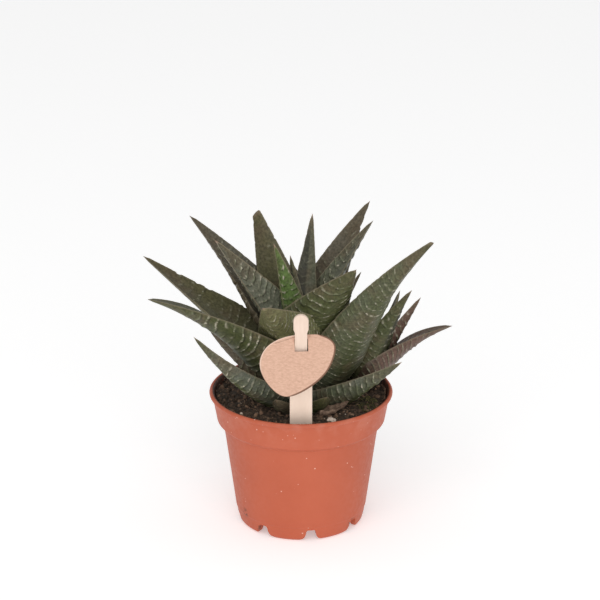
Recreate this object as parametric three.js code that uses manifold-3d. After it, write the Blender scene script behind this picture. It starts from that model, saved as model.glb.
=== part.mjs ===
import * as THREE from "three";
import { mergeVertices } from "three/addons/utils/BufferGeometryUtils.js";
import Module from "manifold-3d";

// Potted haworthia: a rosette of ridged leaves with a small side rosette, in a thin
// nursery pot, with a wooden label. Millimetres, +Z up, the front faces -Y.
// The origin is the middle of the pot's foot, on the surface that it stands on.

const GAP = 0.3;

// Pot: a thin tapered wall, a wider band at the top and a rolled lip
const TURNS = 36;
const POT_HEIGHT = 65;
const LIP_RADIUS = 42.9;
const LIP_DEPTH = 2.3;
const BAND_TOP_RADIUS = 41.4;
const BAND_FOOT_RADIUS = 39.3;
const BAND_FOOT = 51;
const SHOULDER_DROP = 2.4;
const BODY_TOP_RADIUS = 36.3;
const BODY_FOOT_RADIUS = 30.7;
const BODY_FOOT = 7.6;
const CORNER_RADIUS = 29.8;
const CORNER_HEIGHT = 3.6;
const FOOT_RADIUS = 27.8;
const MOULD_STEP = 0.3;
const WALL = 1.2;

// Pot floor: a flat middle that stands level with the foot ring, and a raised
// drainage channel round it, which opens through the arches in the foot ring
const PAD_RADIUS = 16.4;
const CHANNEL_RADIUS = 17.8;
const CHANNEL_HEIGHT = 6.4;
const ARCH_COUNT = 8;
const ARCH_FOOT_WIDTH = 12;
const ARCH_TOP_WIDTH = 4.8;
const ARCH_HEIGHT = 5.9;
const ARCH_FIRST_AZIMUTH = 279;

// Soil: a low mound just under the lip, with an uneven top
const SOIL_LEVEL = 61.2;
const SOIL_MOUND = 1.4;
const CRUMB_DEPTH = 0.5;
const SOIL_RINGS = 6;

// Stems: short, hidden by the leaf bases
const STEM = { x: 0, y: 0, foot: 47, top: 99, footRadius: 10, topRadius: 2.4 };
const SIDE_STEM = { x: 27, y: 8, foot: 50, top: 72, footRadius: 2.6, topRadius: 1.8 };
const STEM_SIDES = 12;

// Leaf section: a channelled upper face, a keeled lower face and cross ridges on both
const LEAF_SIDES = 8;
const RIDGE_PITCH = 7;
const RIDGE_HEIGHT = 0.45;
const RIDGE_FADE = 0.6;
const SMOOTH_PITCH = 9;
const LEAST_CRESTS = 5;
const SPINE_STEPS = 24;
const WIDEST_AT = 0.2;
const BASE_WIDTH = 0.66;
const TAPER = 1.15;
const TIP_WIDTH = 0.8;
const TIP_THICKNESS = 0.7;
const TIP_ROUNDING = 1.3;
const KEEL_DEPTH = 0.3;
const CHANNEL_DEPTH = 0.13;
const KEEL_SHAPE_AT_FOOT = 0.8;
const KEEL_SHAPE_AT_TIP = 1.4;
const LEAF_CLEARANCE = 0.4 + RIDGE_HEIGHT;
const FINEST_STEP = 0.08;
const SAME_POINT = 1e-3;

// Label: a flat stick that narrows to a neck and a round head, through a slot in a board
const STICK_WIDTH = 10.2;
const STICK_THICKNESS = 1.6;
const STICK_FOOT = 40;
const STICK_FRONT = -34.6;
const STICK_LEAN = 6;
const STICK_TOP = 117.6;
const HEAD_WIDTH = 6.8;
const HEAD_LENGTH = 9;
const NECK_WIDTH = 5.6;
const NECK_BLEND = 1.6;
const BOARD_THICKNESS = 1.5;
const BOARD_TILT = 30;
const BOARD_YAW = 5;
const BOARD_BELOW_TOP = 15.7;
const SLOT_WIDTH = 6.4;
const SLOT_HEIGHT = 5.6;
const SHOULDER_BELOW_SLOT = 3.2;

// The board's outline round its slot: a pebble shape, broad at the top right and
// drawn out to the lower left, with x to the right and y up
const BOARD_OUTLINE = [
  [-2.5, 4.7],
  [3, 4.8],
  [8, 4.6],
  [12, 3.3],
  [14.8, 0.9],
  [15.5, -2.2],
  [14, -7.5],
  [10.7, -13],
  [5.3, -17.8],
  [-1.8, -21.8],
  [-7.5, -23],
  [-11.5, -21.5],
  [-15.4, -17.5],
  [-18, -13],
  [-19, -8],
  [-18, -3.8],
  [-15.4, -0.2],
  [-11.5, 2.4],
  [-7, 4],
];
const BOARD_STEPS = 48;

// A leaf starts beside its stem's axis, out by start, at the foot height, and points to its
// azimuth, counted from +X towards +Y, which changes by swing along it. It climbs at rise
// degrees at its foot and at rise + curl at its tip, and is rolled about its own length by
// roll at its foot and roll + twist at its tip. A whole leaf ends at 1, a torn tip sooner.
function leafRow(name, azimuth, swing, start, foot, length, width, rise, curl, roll, twist, end) {
  return { name, azimuth, swing, start, foot, length, width, rise, curl, roll, twist, end };
}

const MAIN_LEAVES = [
  leafRow("leaf_01", 328, 6, 4, 60, 57, 22, 24, 14, -30, 0, 1),
  leafRow("leaf_02", 226, -16, 0, 60, 78, 22, 23, 28, 20, 0, 1),
  leafRow("leaf_03", 290, 0, 4, 60, 34, 20, 16, 20, 0, 0, 1),
  leafRow("leaf_04", 252, 0, 4, 60, 36, 20, 14, 20, 0, 0, 1),
  leafRow("leaf_05", 150, 0, 0, 62, 40, 20, 16, 20, 0, 0, 1),
  leafRow("leaf_06", 75, 0, 0, 62, 54, 22, 18, 10, 0, 0, 1),
  leafRow("leaf_07", 192, 0, 0, 64, 56, 20, 29, 20, 15, 0, 1),
  leafRow("leaf_08", 110, 0, 0, 66, 54, 24, 26, 8, 0, 0, 1),
  leafRow("leaf_09", 205, 0, 0, 67, 96, 36, 56, -40, 36, -41, 1),
  leafRow("leaf_10", 35, 0, 0, 68, 50, 22, 34, 8, 0, 0, 1),
  leafRow("leaf_11", 135, 0, 0, 70, 52, 24, 26, 8, 0, 0, 1),
  leafRow("leaf_12", 61.2, 0, 0, 72, 68, 9, 28, 0, 0, 0, 1),
  leafRow("leaf_13", 333, 0, 9, 69, 102, 29.5, 66.5, -25, -32, 0, 0.97),
  leafRow("leaf_14", 95, 0, 0, 78, 52, 24, 40, 4, 0, 0, 1),
  leafRow("leaf_15", 165, 0, 0, 80, 88, 28, 28, 4, -10, 0, 1),
  leafRow("leaf_16", 121, 0, 0, 80, 80, 28, 56, 0, 0, 0, 0.92),
  leafRow("leaf_17", 150, 0, 0, 88, 80, 28, 48, -14, -4, 0, 1),
  leafRow("leaf_18", 52.5, 0, 0, 90, 76, 25.5, 56, -22, 0, 0, 1),
  leafRow("leaf_19", 243, 0, 0, 92, 47, 34, 38, -6, 25, 0, 1),
  leafRow("leaf_20", 312, 0, 0, 92, 57, 30, 52, -6, -38, 0, 1),
  leafRow("leaf_21", 178, 0, 0, 93, 60, 20, 49, 0, -30, 0, 1),
  leafRow("leaf_22", 76, 0, 0, 95, 54, 12, 66, 0, 0, 0, 1),
  leafRow("leaf_23", 150, 0, 0, 97, 40, 12, 69, 0, -20, 0, 1),
  leafRow("leaf_24", 26, 0, 0, 97, 59, 18, 58, -14, 0, 0, 1),
  leafRow("leaf_25", 110, 0, 0, 98, 32, 7, 63, 0, 0, 0, 1),
];

const SIDE_LEAVES = [
  leafRow("side_leaf_1", 8, 0, 0, 66, 53, 24, 55.5, -52, -40, 40, 1),
  leafRow("side_leaf_2", 18, 0, 0, 66, 49, 20, 56, -9, -40, 0, 1),
  leafRow("side_leaf_3", 330, 0, 0, 67, 57, 19, 69, -16, -25, 0, 1),
  leafRow("side_leaf_4", 10, 0, 0, 67, 47, 14, 62, 8, 0, 0, 1),
];

// The shrivelled leaf that lies on the soil in front of the rosette
const DEAD_LEAF = leafRow("dead_leaf", 12, 30, 0, 64.4, 17, 8, 2, 8, -14, 20, 1);
const DEAD_LEAF_PLACE = { x: 8, y: -24 };

const LEAF_FINISH = { color: 0x4b5a49, roughness: 0.45, metalness: 0 };
const DEAD_LEAF_FINISH = { color: 0x6b5242, roughness: 0.9, metalness: 0 };
const STEM_FINISH = { color: 0x6d7350, roughness: 0.7, metalness: 0 };
const POT_FINISH = { color: 0xcc6b53, roughness: 0.5, metalness: 0 };
const SOIL_FINISH = { color: 0x2f251f, roughness: 1, metalness: 0 };
const STICK_FINISH = { color: 0xecd3b4, roughness: 0.75, metalness: 0 };
const BOARD_FINISH = { color: 0xdcb292, roughness: 0.8, metalness: 0 };

const wasm = await Module();
wasm.setup();
const rad = THREE.MathUtils.degToRad;
const { lerp, smoothstep, mapLinear } = THREE.MathUtils;

// Solids for joining and cutting

function toSolid(geometry) {
  const bare = geometry.clone();
  bare.deleteAttribute("normal");
  bare.deleteAttribute("uv");
  const merged = mergeVertices(bare, SAME_POINT);
  const vertProperties = new Float32Array(merged.getAttribute("position").array);
  const triVerts = new Uint32Array(merged.getIndex().array);
  return new wasm.Manifold(new wasm.Mesh({ numProp: 3, vertProperties, triVerts }));
}

function toGeometry(solid) {
  const mesh = solid.getMesh();
  const geometry = new THREE.BufferGeometry();
  geometry.setAttribute("position", new THREE.BufferAttribute(mesh.vertProperties, 3));
  geometry.setIndex(new THREE.BufferAttribute(mesh.triVerts, 1));
  geometry.computeVertexNormals();
  return geometry;
}

function largestBody(solid) {
  const bodies = toSolid(toGeometry(solid)).decompose();
  bodies.sort((a, b) => b.volume() - a.volume());
  return bodies[0];
}

function namedMesh(name, geometry, finish) {
  const mesh = new THREE.Mesh(geometry, new THREE.MeshStandardMaterial(finish));
  mesh.name = name;
  return mesh;
}

function lathe(profile) {
  const points = profile.map(([radius, z]) => new THREE.Vector2(radius, z));
  return new THREE.LatheGeometry(points, TURNS).rotateX(Math.PI / 2);
}

// Pot

const WALL_OUTLINE = [
  [FOOT_RADIUS, 0],
  [lerp(FOOT_RADIUS, CORNER_RADIUS, 0.7), 0.35 * CORNER_HEIGHT],
  [CORNER_RADIUS, CORNER_HEIGHT],
  [BODY_FOOT_RADIUS - MOULD_STEP, BODY_FOOT - 2 * MOULD_STEP],
  [BODY_FOOT_RADIUS, BODY_FOOT],
  [BODY_TOP_RADIUS, BAND_FOOT - SHOULDER_DROP],
  [BAND_FOOT_RADIUS, BAND_FOOT],
  [BAND_TOP_RADIUS, POT_HEIGHT - LIP_DEPTH],
];

function outerRadius(z) {
  const above = WALL_OUTLINE.findIndex((point) => point[1] >= z);
  const [lowRadius, lowZ] = WALL_OUTLINE[above - 1];
  const [highRadius, highZ] = WALL_OUTLINE[above];
  return mapLinear(z, lowZ, highZ, lowRadius, highRadius);
}

function innerWall(clearance) {
  const ceiling = CHANNEL_HEIGHT + WALL;
  return [
    [outerRadius(ceiling) - WALL - clearance, ceiling + clearance],
    [BODY_TOP_RADIUS - WALL - clearance, BAND_FOOT - SHOULDER_DROP + WALL / 3],
    [BAND_FOOT_RADIUS - WALL - clearance, BAND_FOOT + WALL / 3],
    [BAND_TOP_RADIUS - WALL - clearance, POT_HEIGHT - LIP_DEPTH],
  ];
}

function innerFloor(clearance) {
  return [
    [0, WALL + clearance],
    [PAD_RADIUS - WALL - clearance, WALL + clearance],
    [CHANNEL_RADIUS - WALL - clearance, CHANNEL_HEIGHT + WALL + clearance],
  ];
}

function potGeometry() {
  const overhang = LIP_RADIUS - BAND_TOP_RADIUS;
  const lip = [
    [LIP_RADIUS - 0.15 * overhang, POT_HEIGHT - 0.8 * LIP_DEPTH],
    [LIP_RADIUS, POT_HEIGHT - 0.45 * LIP_DEPTH],
    [LIP_RADIUS - 0.35 * overhang, POT_HEIGHT - 0.1 * LIP_DEPTH],
    [LIP_RADIUS - 0.75 * overhang, POT_HEIGHT],
    [LIP_RADIUS - 1.5 * overhang, POT_HEIGHT - 0.3 * LIP_DEPTH],
  ];
  const underside = [
    [FOOT_RADIUS - WALL, 0],
    [FOOT_RADIUS - 0.7 * WALL, CHANNEL_HEIGHT],
    [CHANNEL_RADIUS, CHANNEL_HEIGHT],
    [PAD_RADIUS, 0],
    [0, 0],
  ];
  const inside = [...innerFloor(0), ...innerWall(0)].reverse();
  const profile = [...WALL_OUTLINE, ...lip, ...inside, ...underside.reverse()];
  profile.push(profile[0]);
  return lathe(profile);
}

function archGeometry() {
  const foot = ARCH_FOOT_WIDTH / 2;
  const top = ARCH_TOP_WIDTH / 2;
  const flat = 0.5 * top;
  const flare = 1.3 * top;
  const shoulder = 0.6 * ARCH_HEIGHT;
  const splay = 0.1 * ARCH_HEIGHT;
  const outline = new THREE.Shape();
  outline.moveTo(-foot, -WALL);
  outline.lineTo(foot, -WALL);
  outline.lineTo(foot, 0);
  outline.quadraticCurveTo(flare, splay, top, shoulder);
  outline.quadraticCurveTo(top, ARCH_HEIGHT, flat, ARCH_HEIGHT);
  outline.lineTo(-flat, ARCH_HEIGHT);
  outline.quadraticCurveTo(-top, ARCH_HEIGHT, -top, shoulder);
  outline.quadraticCurveTo(-flare, splay, -foot, 0);
  const depth = CORNER_RADIUS - CHANNEL_RADIUS;
  const geometry = new THREE.ExtrudeGeometry(outline, { depth, bevelEnabled: false, curveSegments: 4 });
  return geometry.rotateX(Math.PI / 2).translate(0, -lerp(CHANNEL_RADIUS, FOOT_RADIUS, 0.5), 0);
}

function makePot() {
  let solid = toSolid(potGeometry());
  for (let i = 0; i < ARCH_COUNT; i++) {
    const azimuth = ARCH_FIRST_AZIMUTH + (360 / ARCH_COUNT) * i;
    const arch = archGeometry().rotateZ(rad(azimuth + 90));
    solid = solid.subtract(toSolid(arch));
  }
  return namedMesh("pot", toGeometry(solid), POT_FINISH);
}

// Soil

function soilTop(radius) {
  const share = radius / BAND_TOP_RADIUS;
  return SOIL_LEVEL + SOIL_MOUND * (1 - share * share);
}

// How far the soil's surface lies below the mound at a point
function crumbs(x, y) {
  const coarse = Math.sin(0.31 * x + 1.3) * Math.sin(0.27 * y + 0.4);
  const fine = Math.sin(0.83 * x + 0.57 * y) * Math.sin(0.71 * y - 0.49 * x + 2);
  return CRUMB_DEPTH * (0.5 * coarse + 0.5 * fine - 1);
}

function soilEdge(clearance) {
  const [low, high] = innerWall(clearance).slice(2);
  return mapLinear(SOIL_LEVEL, low[1], high[1], low[0], high[0]);
}

function soilGeometry() {
  const wall = innerWall(GAP).slice(0, 3);
  const edge = soilEdge(GAP);
  const top = [];
  for (let i = 0; i <= SOIL_RINGS; i++) {
    const radius = edge * (1 - i / SOIL_RINGS);
    top.push([radius, soilTop(radius)]);
  }
  const geometry = lathe([...innerFloor(GAP), ...wall, ...top]);
  const position = geometry.getAttribute("position");
  for (let i = 0; i < position.count; i++) {
    if (position.getZ(i) >= SOIL_LEVEL) {
      position.setZ(i, position.getZ(i) + crumbs(position.getX(i), position.getY(i)));
    }
  }
  return geometry;
}

// All that lies under the leaves: the mound without its crumbs, raised by the gap
function groundGeometry() {
  const top = [];
  for (let i = 0; i <= SOIL_RINGS; i++) {
    const radius = LIP_RADIUS * (1 - i / SOIL_RINGS);
    top.push([radius, soilTop(radius) + GAP]);
  }
  return lathe([[0, STEM.foot], [LIP_RADIUS, STEM.foot], ...top]);
}

// Stems

function stemGeometry(stem, clearance) {
  const height = stem.top - stem.foot + 2 * clearance;
  const topRadius = stem.topRadius + clearance;
  const footRadius = stem.footRadius + clearance;
  const geometry = new THREE.CylinderGeometry(topRadius, footRadius, height, STEM_SIDES);
  return geometry.rotateX(Math.PI / 2).translate(stem.x, stem.y, (stem.top + stem.foot) / 2);
}

// Leaves

function leafFrame(leaf, t) {
  const rise = rad(leaf.rise + leaf.curl * t);
  const azimuth = rad(leaf.azimuth + leaf.swing * t);
  const roll = rad(leaf.roll + leaf.twist * t);
  const out = new THREE.Vector3(Math.cos(azimuth), Math.sin(azimuth), 0);
  const along = out.clone().multiplyScalar(Math.cos(rise)).setZ(Math.sin(rise));
  const level = new THREE.Vector3(-Math.sin(azimuth), Math.cos(azimuth), 0);
  const up = new THREE.Vector3().crossVectors(along, level);
  const side = level.clone().multiplyScalar(Math.cos(roll)).addScaledVector(up, Math.sin(roll));
  const face = up.clone().multiplyScalar(Math.cos(roll)).addScaledVector(level, -Math.sin(roll));
  return { along, side, face };
}

function spinePoint(leaf, place, t) {
  const azimuth = rad(leaf.azimuth);
  const x = place.x + leaf.start * Math.cos(azimuth);
  const y = place.y + leaf.start * Math.sin(azimuth);
  const point = new THREE.Vector3(x, y, leaf.foot);
  for (let i = 0; i < SPINE_STEPS; i++) {
    const frame = leafFrame(leaf, (t * (i + 0.5)) / SPINE_STEPS);
    point.addScaledVector(frame.along, (leaf.length * t) / SPINE_STEPS);
  }
  return point;
}

// The cylinder's turns become the leaf's section, and its height the leaf's length
function leafGeometry(leaf, place, pitch, ridgeHeight, clearance) {
  const rows = 2 * Math.max(LEAST_CRESTS, Math.round((leaf.length * leaf.end) / pitch));
  const geometry = new THREE.CylinderGeometry(1, 1, 1, LEAF_SIDES, rows);
  const position = geometry.getAttribute("position");
  const margin = clearance / leaf.length;
  for (let i = 0; i < position.count; i++) {
    const share = position.getY(i) + 0.5;
    const t = lerp(-margin, leaf.end + margin, share);
    const across = -position.getX(i);
    const through = position.getZ(i);
    const taper = Math.min(1, Math.max(0, (t - WIDEST_AT) / (1 - WIDEST_AT)));
    const base = lerp(BASE_WIDTH, 1, smoothstep(t, 0, WIDEST_AT));
    const half = 0.5 * (leaf.width * base * (1 - taper ** TAPER) + TIP_WIDTH) + clearance;
    const keel = KEEL_DEPTH * leaf.width * (1 - taper ** TIP_ROUNDING) + TIP_THICKNESS;
    const channel = CHANNEL_DEPTH * leaf.width * (1 - taper);
    const keelShape = lerp(KEEL_SHAPE_AT_FOOT, KEEL_SHAPE_AT_TIP, taper);
    let height = -channel * through * through;
    if (through < 0) {
      height = -keel * Math.abs(through) ** keelShape;
    }
    if (Math.hypot(across, through) < 0.5) {
      height = -keel / 2;
    } else {
      const isCrest = Math.round(share * rows) % 2;
      height += through * isCrest * ridgeHeight * (1 - RIDGE_FADE * t);
      height += through > -0.1 ? clearance : -clearance;
    }
    const frame = leafFrame(leaf, t);
    const point = spinePoint(leaf, place, t);
    point.addScaledVector(frame.side, across * half).addScaledVector(frame.face, height);
    position.setXYZ(i, point.x, point.y, point.z);
  }
  return geometry;
}

function clearanceSolid(leaf, place) {
  return toSolid(leafGeometry(leaf, place, SMOOTH_PITCH, 0, LEAF_CLEARANCE));
}

// A leaf, cut back from all that takes up room already
function leafMesh(leaf, place, taken, finish) {
  const whole = toSolid(leafGeometry(leaf, place, RIDGE_PITCH, RIDGE_HEIGHT, 0));
  const clear = whole.subtract(wasm.Manifold.union(taken)).simplify(FINEST_STEP);
  return namedMesh(leaf.name, toGeometry(largestBody(clear)), finish);
}

// The outer leaves come first and stay whole, and each inner leaf is cut back from them
function makeLeaves() {
  const rosettes = [
    { leaves: SIDE_LEAVES, place: SIDE_STEM },
    { leaves: MAIN_LEAVES, place: STEM },
  ];
  const taken = [groundGeometry(), stemGeometry(STEM, GAP), stemGeometry(SIDE_STEM, GAP)].map(toSolid);
  const meshes = [];
  for (const { leaves, place } of rosettes) {
    for (const leaf of leaves) {
      meshes.push(leafMesh(leaf, place, taken, LEAF_FINISH));
      taken.push(clearanceSolid(leaf, place));
    }
  }
  meshes.push(leafMesh(DEAD_LEAF, DEAD_LEAF_PLACE, taken, DEAD_LEAF_FINISH));
  return meshes;
}

function makeSoil() {
  const stemHoles = [stemGeometry(STEM, GAP), stemGeometry(SIDE_STEM, GAP), stickGeometry(GAP)];
  const solid = toSolid(soilGeometry()).subtract(wasm.Manifold.union(stemHoles.map(toSolid)));
  return namedMesh("soil", toGeometry(solid), SOIL_FINISH);
}

// Label

// The stick's outline from its foot at 0 up to its head, in its own plane
function stickOutline(clearance) {
  const length = (STICK_TOP - STICK_FOOT) / Math.cos(rad(STICK_LEAN));
  const slot = length - BOARD_BELOW_TOP;
  const wide = STICK_WIDTH / 2 + clearance;
  const neck = NECK_WIDTH / 2 + clearance;
  const head = HEAD_WIDTH / 2 + clearance;
  const shoulder = slot - SHOULDER_BELOW_SLOT;
  const outline = new THREE.Shape();
  outline.moveTo(-wide, wide);
  outline.absarc(0, wide, wide, Math.PI, 2 * Math.PI);
  outline.lineTo(wide, shoulder - NECK_BLEND);
  outline.lineTo(neck, shoulder);
  outline.lineTo(neck, length - HEAD_LENGTH);
  outline.lineTo(head, length - HEAD_LENGTH + NECK_BLEND);
  outline.lineTo(head, length - head);
  outline.absarc(0, length - head, head, 0, Math.PI);
  outline.lineTo(-head, length - HEAD_LENGTH + NECK_BLEND);
  outline.lineTo(-neck, length - HEAD_LENGTH);
  outline.lineTo(-neck, shoulder);
  outline.lineTo(-wide, shoulder - NECK_BLEND);
  return outline;
}

// Where a height above the foot lies on the stick's middle plane
function stickPoint(z) {
  const depth = STICK_FRONT - (z - SOIL_LEVEL) * Math.tan(rad(STICK_LEAN));
  return new THREE.Vector3(0, depth + STICK_THICKNESS / 2, z);
}

function stickGeometry(clearance) {
  const depth = STICK_THICKNESS + 2 * clearance;
  const outline = stickOutline(clearance);
  const geometry = new THREE.ExtrudeGeometry(outline, { depth, bevelEnabled: false, curveSegments: 10 });
  const foot = stickPoint(STICK_FOOT - clearance);
  geometry.translate(0, 0, -depth / 2).rotateX(Math.PI / 2 + rad(STICK_LEAN));
  return geometry.translate(foot.x, foot.y, foot.z);
}

function boardGeometry() {
  const corners = BOARD_OUTLINE.map(([x, y]) => new THREE.Vector3(x, y, 0));
  const curve = new THREE.CatmullRomCurve3(corners, true);
  const rim = curve.getPoints(BOARD_STEPS).slice(0, -1);
  const outline = new THREE.Shape(rim.map((point) => new THREE.Vector2(point.x, point.y)));
  const geometry = new THREE.ExtrudeGeometry(outline, { depth: BOARD_THICKNESS, bevelEnabled: false });
  geometry.translate(0, 0, -BOARD_THICKNESS / 2);
  const slot = new THREE.BoxGeometry(SLOT_WIDTH, SLOT_HEIGHT, 2 * BOARD_THICKNESS);
  return toGeometry(toSolid(geometry).subtract(toSolid(slot)));
}

function makeLabel() {
  const stick = namedMesh("label_stick", stickGeometry(0), STICK_FINISH);
  const board = namedMesh("label_board", boardGeometry(), BOARD_FINISH);
  const slotHeight = STICK_TOP - BOARD_BELOW_TOP * Math.cos(rad(STICK_LEAN));
  board.position.copy(stickPoint(slotHeight));
  board.rotation.set(Math.PI / 2 - rad(BOARD_TILT), 0, rad(BOARD_YAW), "ZXY");
  return [stick, board];
}

const group = new THREE.Group();
group.add(makePot());
group.add(makeSoil());
group.add(namedMesh("stem", stemGeometry(STEM, 0), STEM_FINISH));
group.add(namedMesh("side_stem", stemGeometry(SIDE_STEM, 0), STEM_FINISH));
group.add(...makeLeaves());
group.add(...makeLabel());
export default group;
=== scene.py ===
import math
import random
from collections import namedtuple

import bmesh
import bpy
from bpy.props import FloatProperty, FloatVectorProperty, IntProperty, PointerProperty
from mathutils import Matrix, Vector, noise


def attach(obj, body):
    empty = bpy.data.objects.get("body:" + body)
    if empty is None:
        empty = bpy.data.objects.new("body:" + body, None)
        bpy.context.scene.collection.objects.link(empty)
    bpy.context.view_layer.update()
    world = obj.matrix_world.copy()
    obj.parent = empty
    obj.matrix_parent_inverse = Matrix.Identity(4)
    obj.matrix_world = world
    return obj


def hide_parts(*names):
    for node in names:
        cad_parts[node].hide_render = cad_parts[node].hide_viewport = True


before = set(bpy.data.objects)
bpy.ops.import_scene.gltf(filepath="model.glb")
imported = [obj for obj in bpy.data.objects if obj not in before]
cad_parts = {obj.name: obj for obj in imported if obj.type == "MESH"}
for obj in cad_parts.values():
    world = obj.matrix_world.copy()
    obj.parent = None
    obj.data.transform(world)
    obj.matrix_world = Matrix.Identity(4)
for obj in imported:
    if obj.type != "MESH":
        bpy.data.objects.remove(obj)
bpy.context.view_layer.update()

bl_info = {
    "name": "Potted haworthia",
    "version": (1, 0, 0),
    "blender": (4, 5, 0),
    "location": "3D View > Sidebar > Haworthia",
    "description": "Dresses a haworthia in its nursery pot with ridged leaves, soil and a label",
    "category": "Add Mesh",
}

MM = 0.001
ROOT = "root"

# Points closer than this, in metres, are one: in a new tube and in a solid's mesh
SEAM = 1e-7
CAD_SEAM = 1e-6

# Edges sharper than these angles, in degrees, keep their crease
LEAF_CREASE = 60
POT_CREASE = 38
LITTER_CREASE = 50
LABEL_CREASE = 30

# What the random draws and the noise start from
SOIL_SEED = 3
LEAF_SEED = 1
LEAF_SEED_STEP = 11.3
DEAD_LEAF_SEED = 7.7

# The pot, in millimetres and degrees, as its solid has it
POT_HEIGHT = 65.0
LIP_RADIUS = 42.9
LIP_DEPTH = 2.3
BAND_TOP_RADIUS = 41.4
BAND_FOOT_RADIUS = 39.3
BAND_FOOT = 51.0
SHOULDER_DROP = 2.4
BODY_TOP_RADIUS = 36.3
BODY_FOOT_RADIUS = 30.7
BODY_FOOT = 7.6
CORNER_RADIUS = 29.8
CORNER_HEIGHT = 3.6
FOOT_RADIUS = 27.8
MOULD_STEP = 0.3
WALL = 1.2
PAD_RADIUS = 16.4
CHANNEL_RADIUS = 17.8
CHANNEL_HEIGHT = 6.4
ARCH_COUNT = 8
ARCH_FOOT_WIDTH = 12.0
ARCH_TOP_WIDTH = 4.8
ARCH_HEIGHT = 5.9
ARCH_FIRST_AZIMUTH = 279.0

# How fine the pot's mesh is, and how far its corners are rounded
POT_TURNS = 192
ARCH_CURVE_STEPS = 10
POT_EASING = 0.45

# The soil's mound and its hollows, in millimetres
SOIL_LEVEL = 61.2
SOIL_MOUND = 1.4
CRUMB_DEPTH = 0.5
SOIL_TURNS = 240
SOIL_RINGS = 90
SOIL_GAP = 0.3
SOIL_BANK = 0.9
SOIL_BANK_SPAN = (0.84, 0.94)
BROAD_LUMPS = 2.6
BROAD_LUMP_HEIGHT = 0.55
SMALL_LUMPS = 1.1
SMALL_LUMP_HEIGHT = 0.3
CLINGING_FROM_AXIS = 39.3

# The larger white grains: x, y and radius
PERLITE = (
    (13.6, -29.0, 1.4),
    (15.4, -29.3, 0.9),
    (12.4, -30.0, 0.7),
    (14.4, -30.6, 0.6),
    (-27.5, -21.5, 0.7),
)

# Moss grows in an oval patch
MOSS_MIDDLE = (30.5, -10.0)
MOSS_REACH = (5.5, 8.0)

# What is strewn on the soil keeps these distances, in millimetres, from the pot's axis and
# from the soil's edge
CRUMBS_FROM = 6.0
GRAINS_FROM = 12.0
FIBRES_FROM = 10.0
EDGE_ROOM = 0.8
FIBRE_ROOM = 6.0

# A lump's stretch, roughness and the share of its radius that its middle lies above the
# soil, and the radius above which a crumb is rounder
LUMP_LENGTHS = (0.7, 1.35)
LUMP_WIDTHS = (0.7, 1.2)
LUMP_ROUGHNESS = 0.28
LUMP_RISE = 0.25
LARGE_CRUMB = 0.8

# A fibre is a tube of so many rows and turns, bent by up to so much, with ends of this share
FIBRE_ROWS = 8
FIBRE_TURNS = 5
FIBRE_BEND = 1.6
FIBRE_END = 0.02

# A random value is the least one and what chance adds: high ones are rarer with more rarity
Spread = namedtuple("Spread", "least gain rarity")
ANY = Spread(0, 1, 1)
CRUMB_RADIUS = Spread(0.3, 1.0, 3)
CRUMB_TONE = Spread(0, 1, 1.4)
CLINGING_LIFT = Spread(0, 1.8, 1.5)
CLINGING_RADIUS = Spread(0.25, 0.3, 1)
CLINGING_TONE = Spread(0, 1, 2.5)
GRAIN_RADIUS = Spread(0.16, 0.3, 2)
GRAIN_TONE = Spread(0, 1, 0.6)
FIBRE_LENGTH = Spread(2.5, 6, 2)
FIBRE_RADIUS = Spread(0.09, 0.1, 1)
FIBRE_LIFT = Spread(0, 0.9, 1)
MOSS_RADIUS = Spread(0.3, 0.45, 1)

# Stains at the pot's foot in millimetres: x, height and reach, on a wall of this radius
STAINS = ((-26.2, 9.0, 3.2), (-19.5, 3.0, 4.0), (24.5, 4.0, 4.0))
STAINED_RADIUS = 31.0

# The leaves' section and spine
WIDEST_AT = 0.2
BASE_WIDTH = 0.66
TAPER = 1.15
TIP_ROUNDING = 1.3
TIP_WIDTH = 0.8
TIP_THICKNESS = 0.7
KEEL_DEPTH = 0.3
CHANNEL_DEPTH = 0.13
KEEL_SHAPE_AT_FOOT = 0.8
KEEL_SHAPE_AT_TIP = 1.4
KEEL_OUTER_SHAPE = 1.25
KEEL_OUTER_SHARE = 0.55
KEEL_OUTER_SPAN = (0.25, 0.8)
SPINE_STEPS = 24
LEAF_TURNS = 56
LEAF_STEP = 0.5
POINTED_LENGTH = 3.2
BLUNT_LENGTH = 1.0
TORN_BELOW = 0.95
TORN_SLOPE = 2.0
TORN_ROUGHNESS = 0.4

# The leaves' skin, in millimetres or in shares of a ridge's pitch
PITCH_AT_FOOT = 0.82
PITCH_GAIN = 0.3
WANDER = 0.5
WANDER_LENGTH = 12.0
FINE_WANDER = 0.21
FINE_WANDER_LENGTH = 3.5
RIDGE_LINE = 0.13
RIDGE_WAVE_SHARE = 0.45
RIDGE_LINE_SHARE = 0.55
WEAKEST_RIDGE = 0.4
WEAK_PATCH_LENGTH = 7.0
BREAK_LENGTH = 2.4
BREAK_WIDTH = 2.0
PEARL_WIDTH = 1.2
NIBBLE_LENGTH = 2.4
TOOTH_LENGTH = 0.9
TOOTH_DEPTH = 0.16
MARGIN_RIPPLE = 0.16
MARGIN_LINE = 0.36
# The share of painted sheen that every leaf's upper face gets
FACE_SHEEN = 0.3
DRY_TIP = (0.5, 2.6)
CRUMPLE_LENGTH = 2.1

# Between which shares of a leaf's length the margins are nibbled, pearls are strewn and the
# ridges fade, each with its soft start and end
NIBBLED = ((0.05, 0.25), (0.8, 0.97))
PEARLED = ((0.1, 0.4), (0.72, 0.92))
RIDGES_FADE = (0.7, 0.95)

# Where the crest and the painted shade of its groove lie in a ridge's cycle
CREST_PHASE = 0.5
GROOVE_SHADE_PHASE = 0.34

STEM_PLACE = (0.0, 0.0)
SIDE_STEM_PLACE = (27.0, 8.0)
DEAD_LEAF_PLACE = (8.0, -24.0)

Leaf = namedtuple("Leaf", "name azimuth swing start foot length width rise curl roll twist end")

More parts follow.
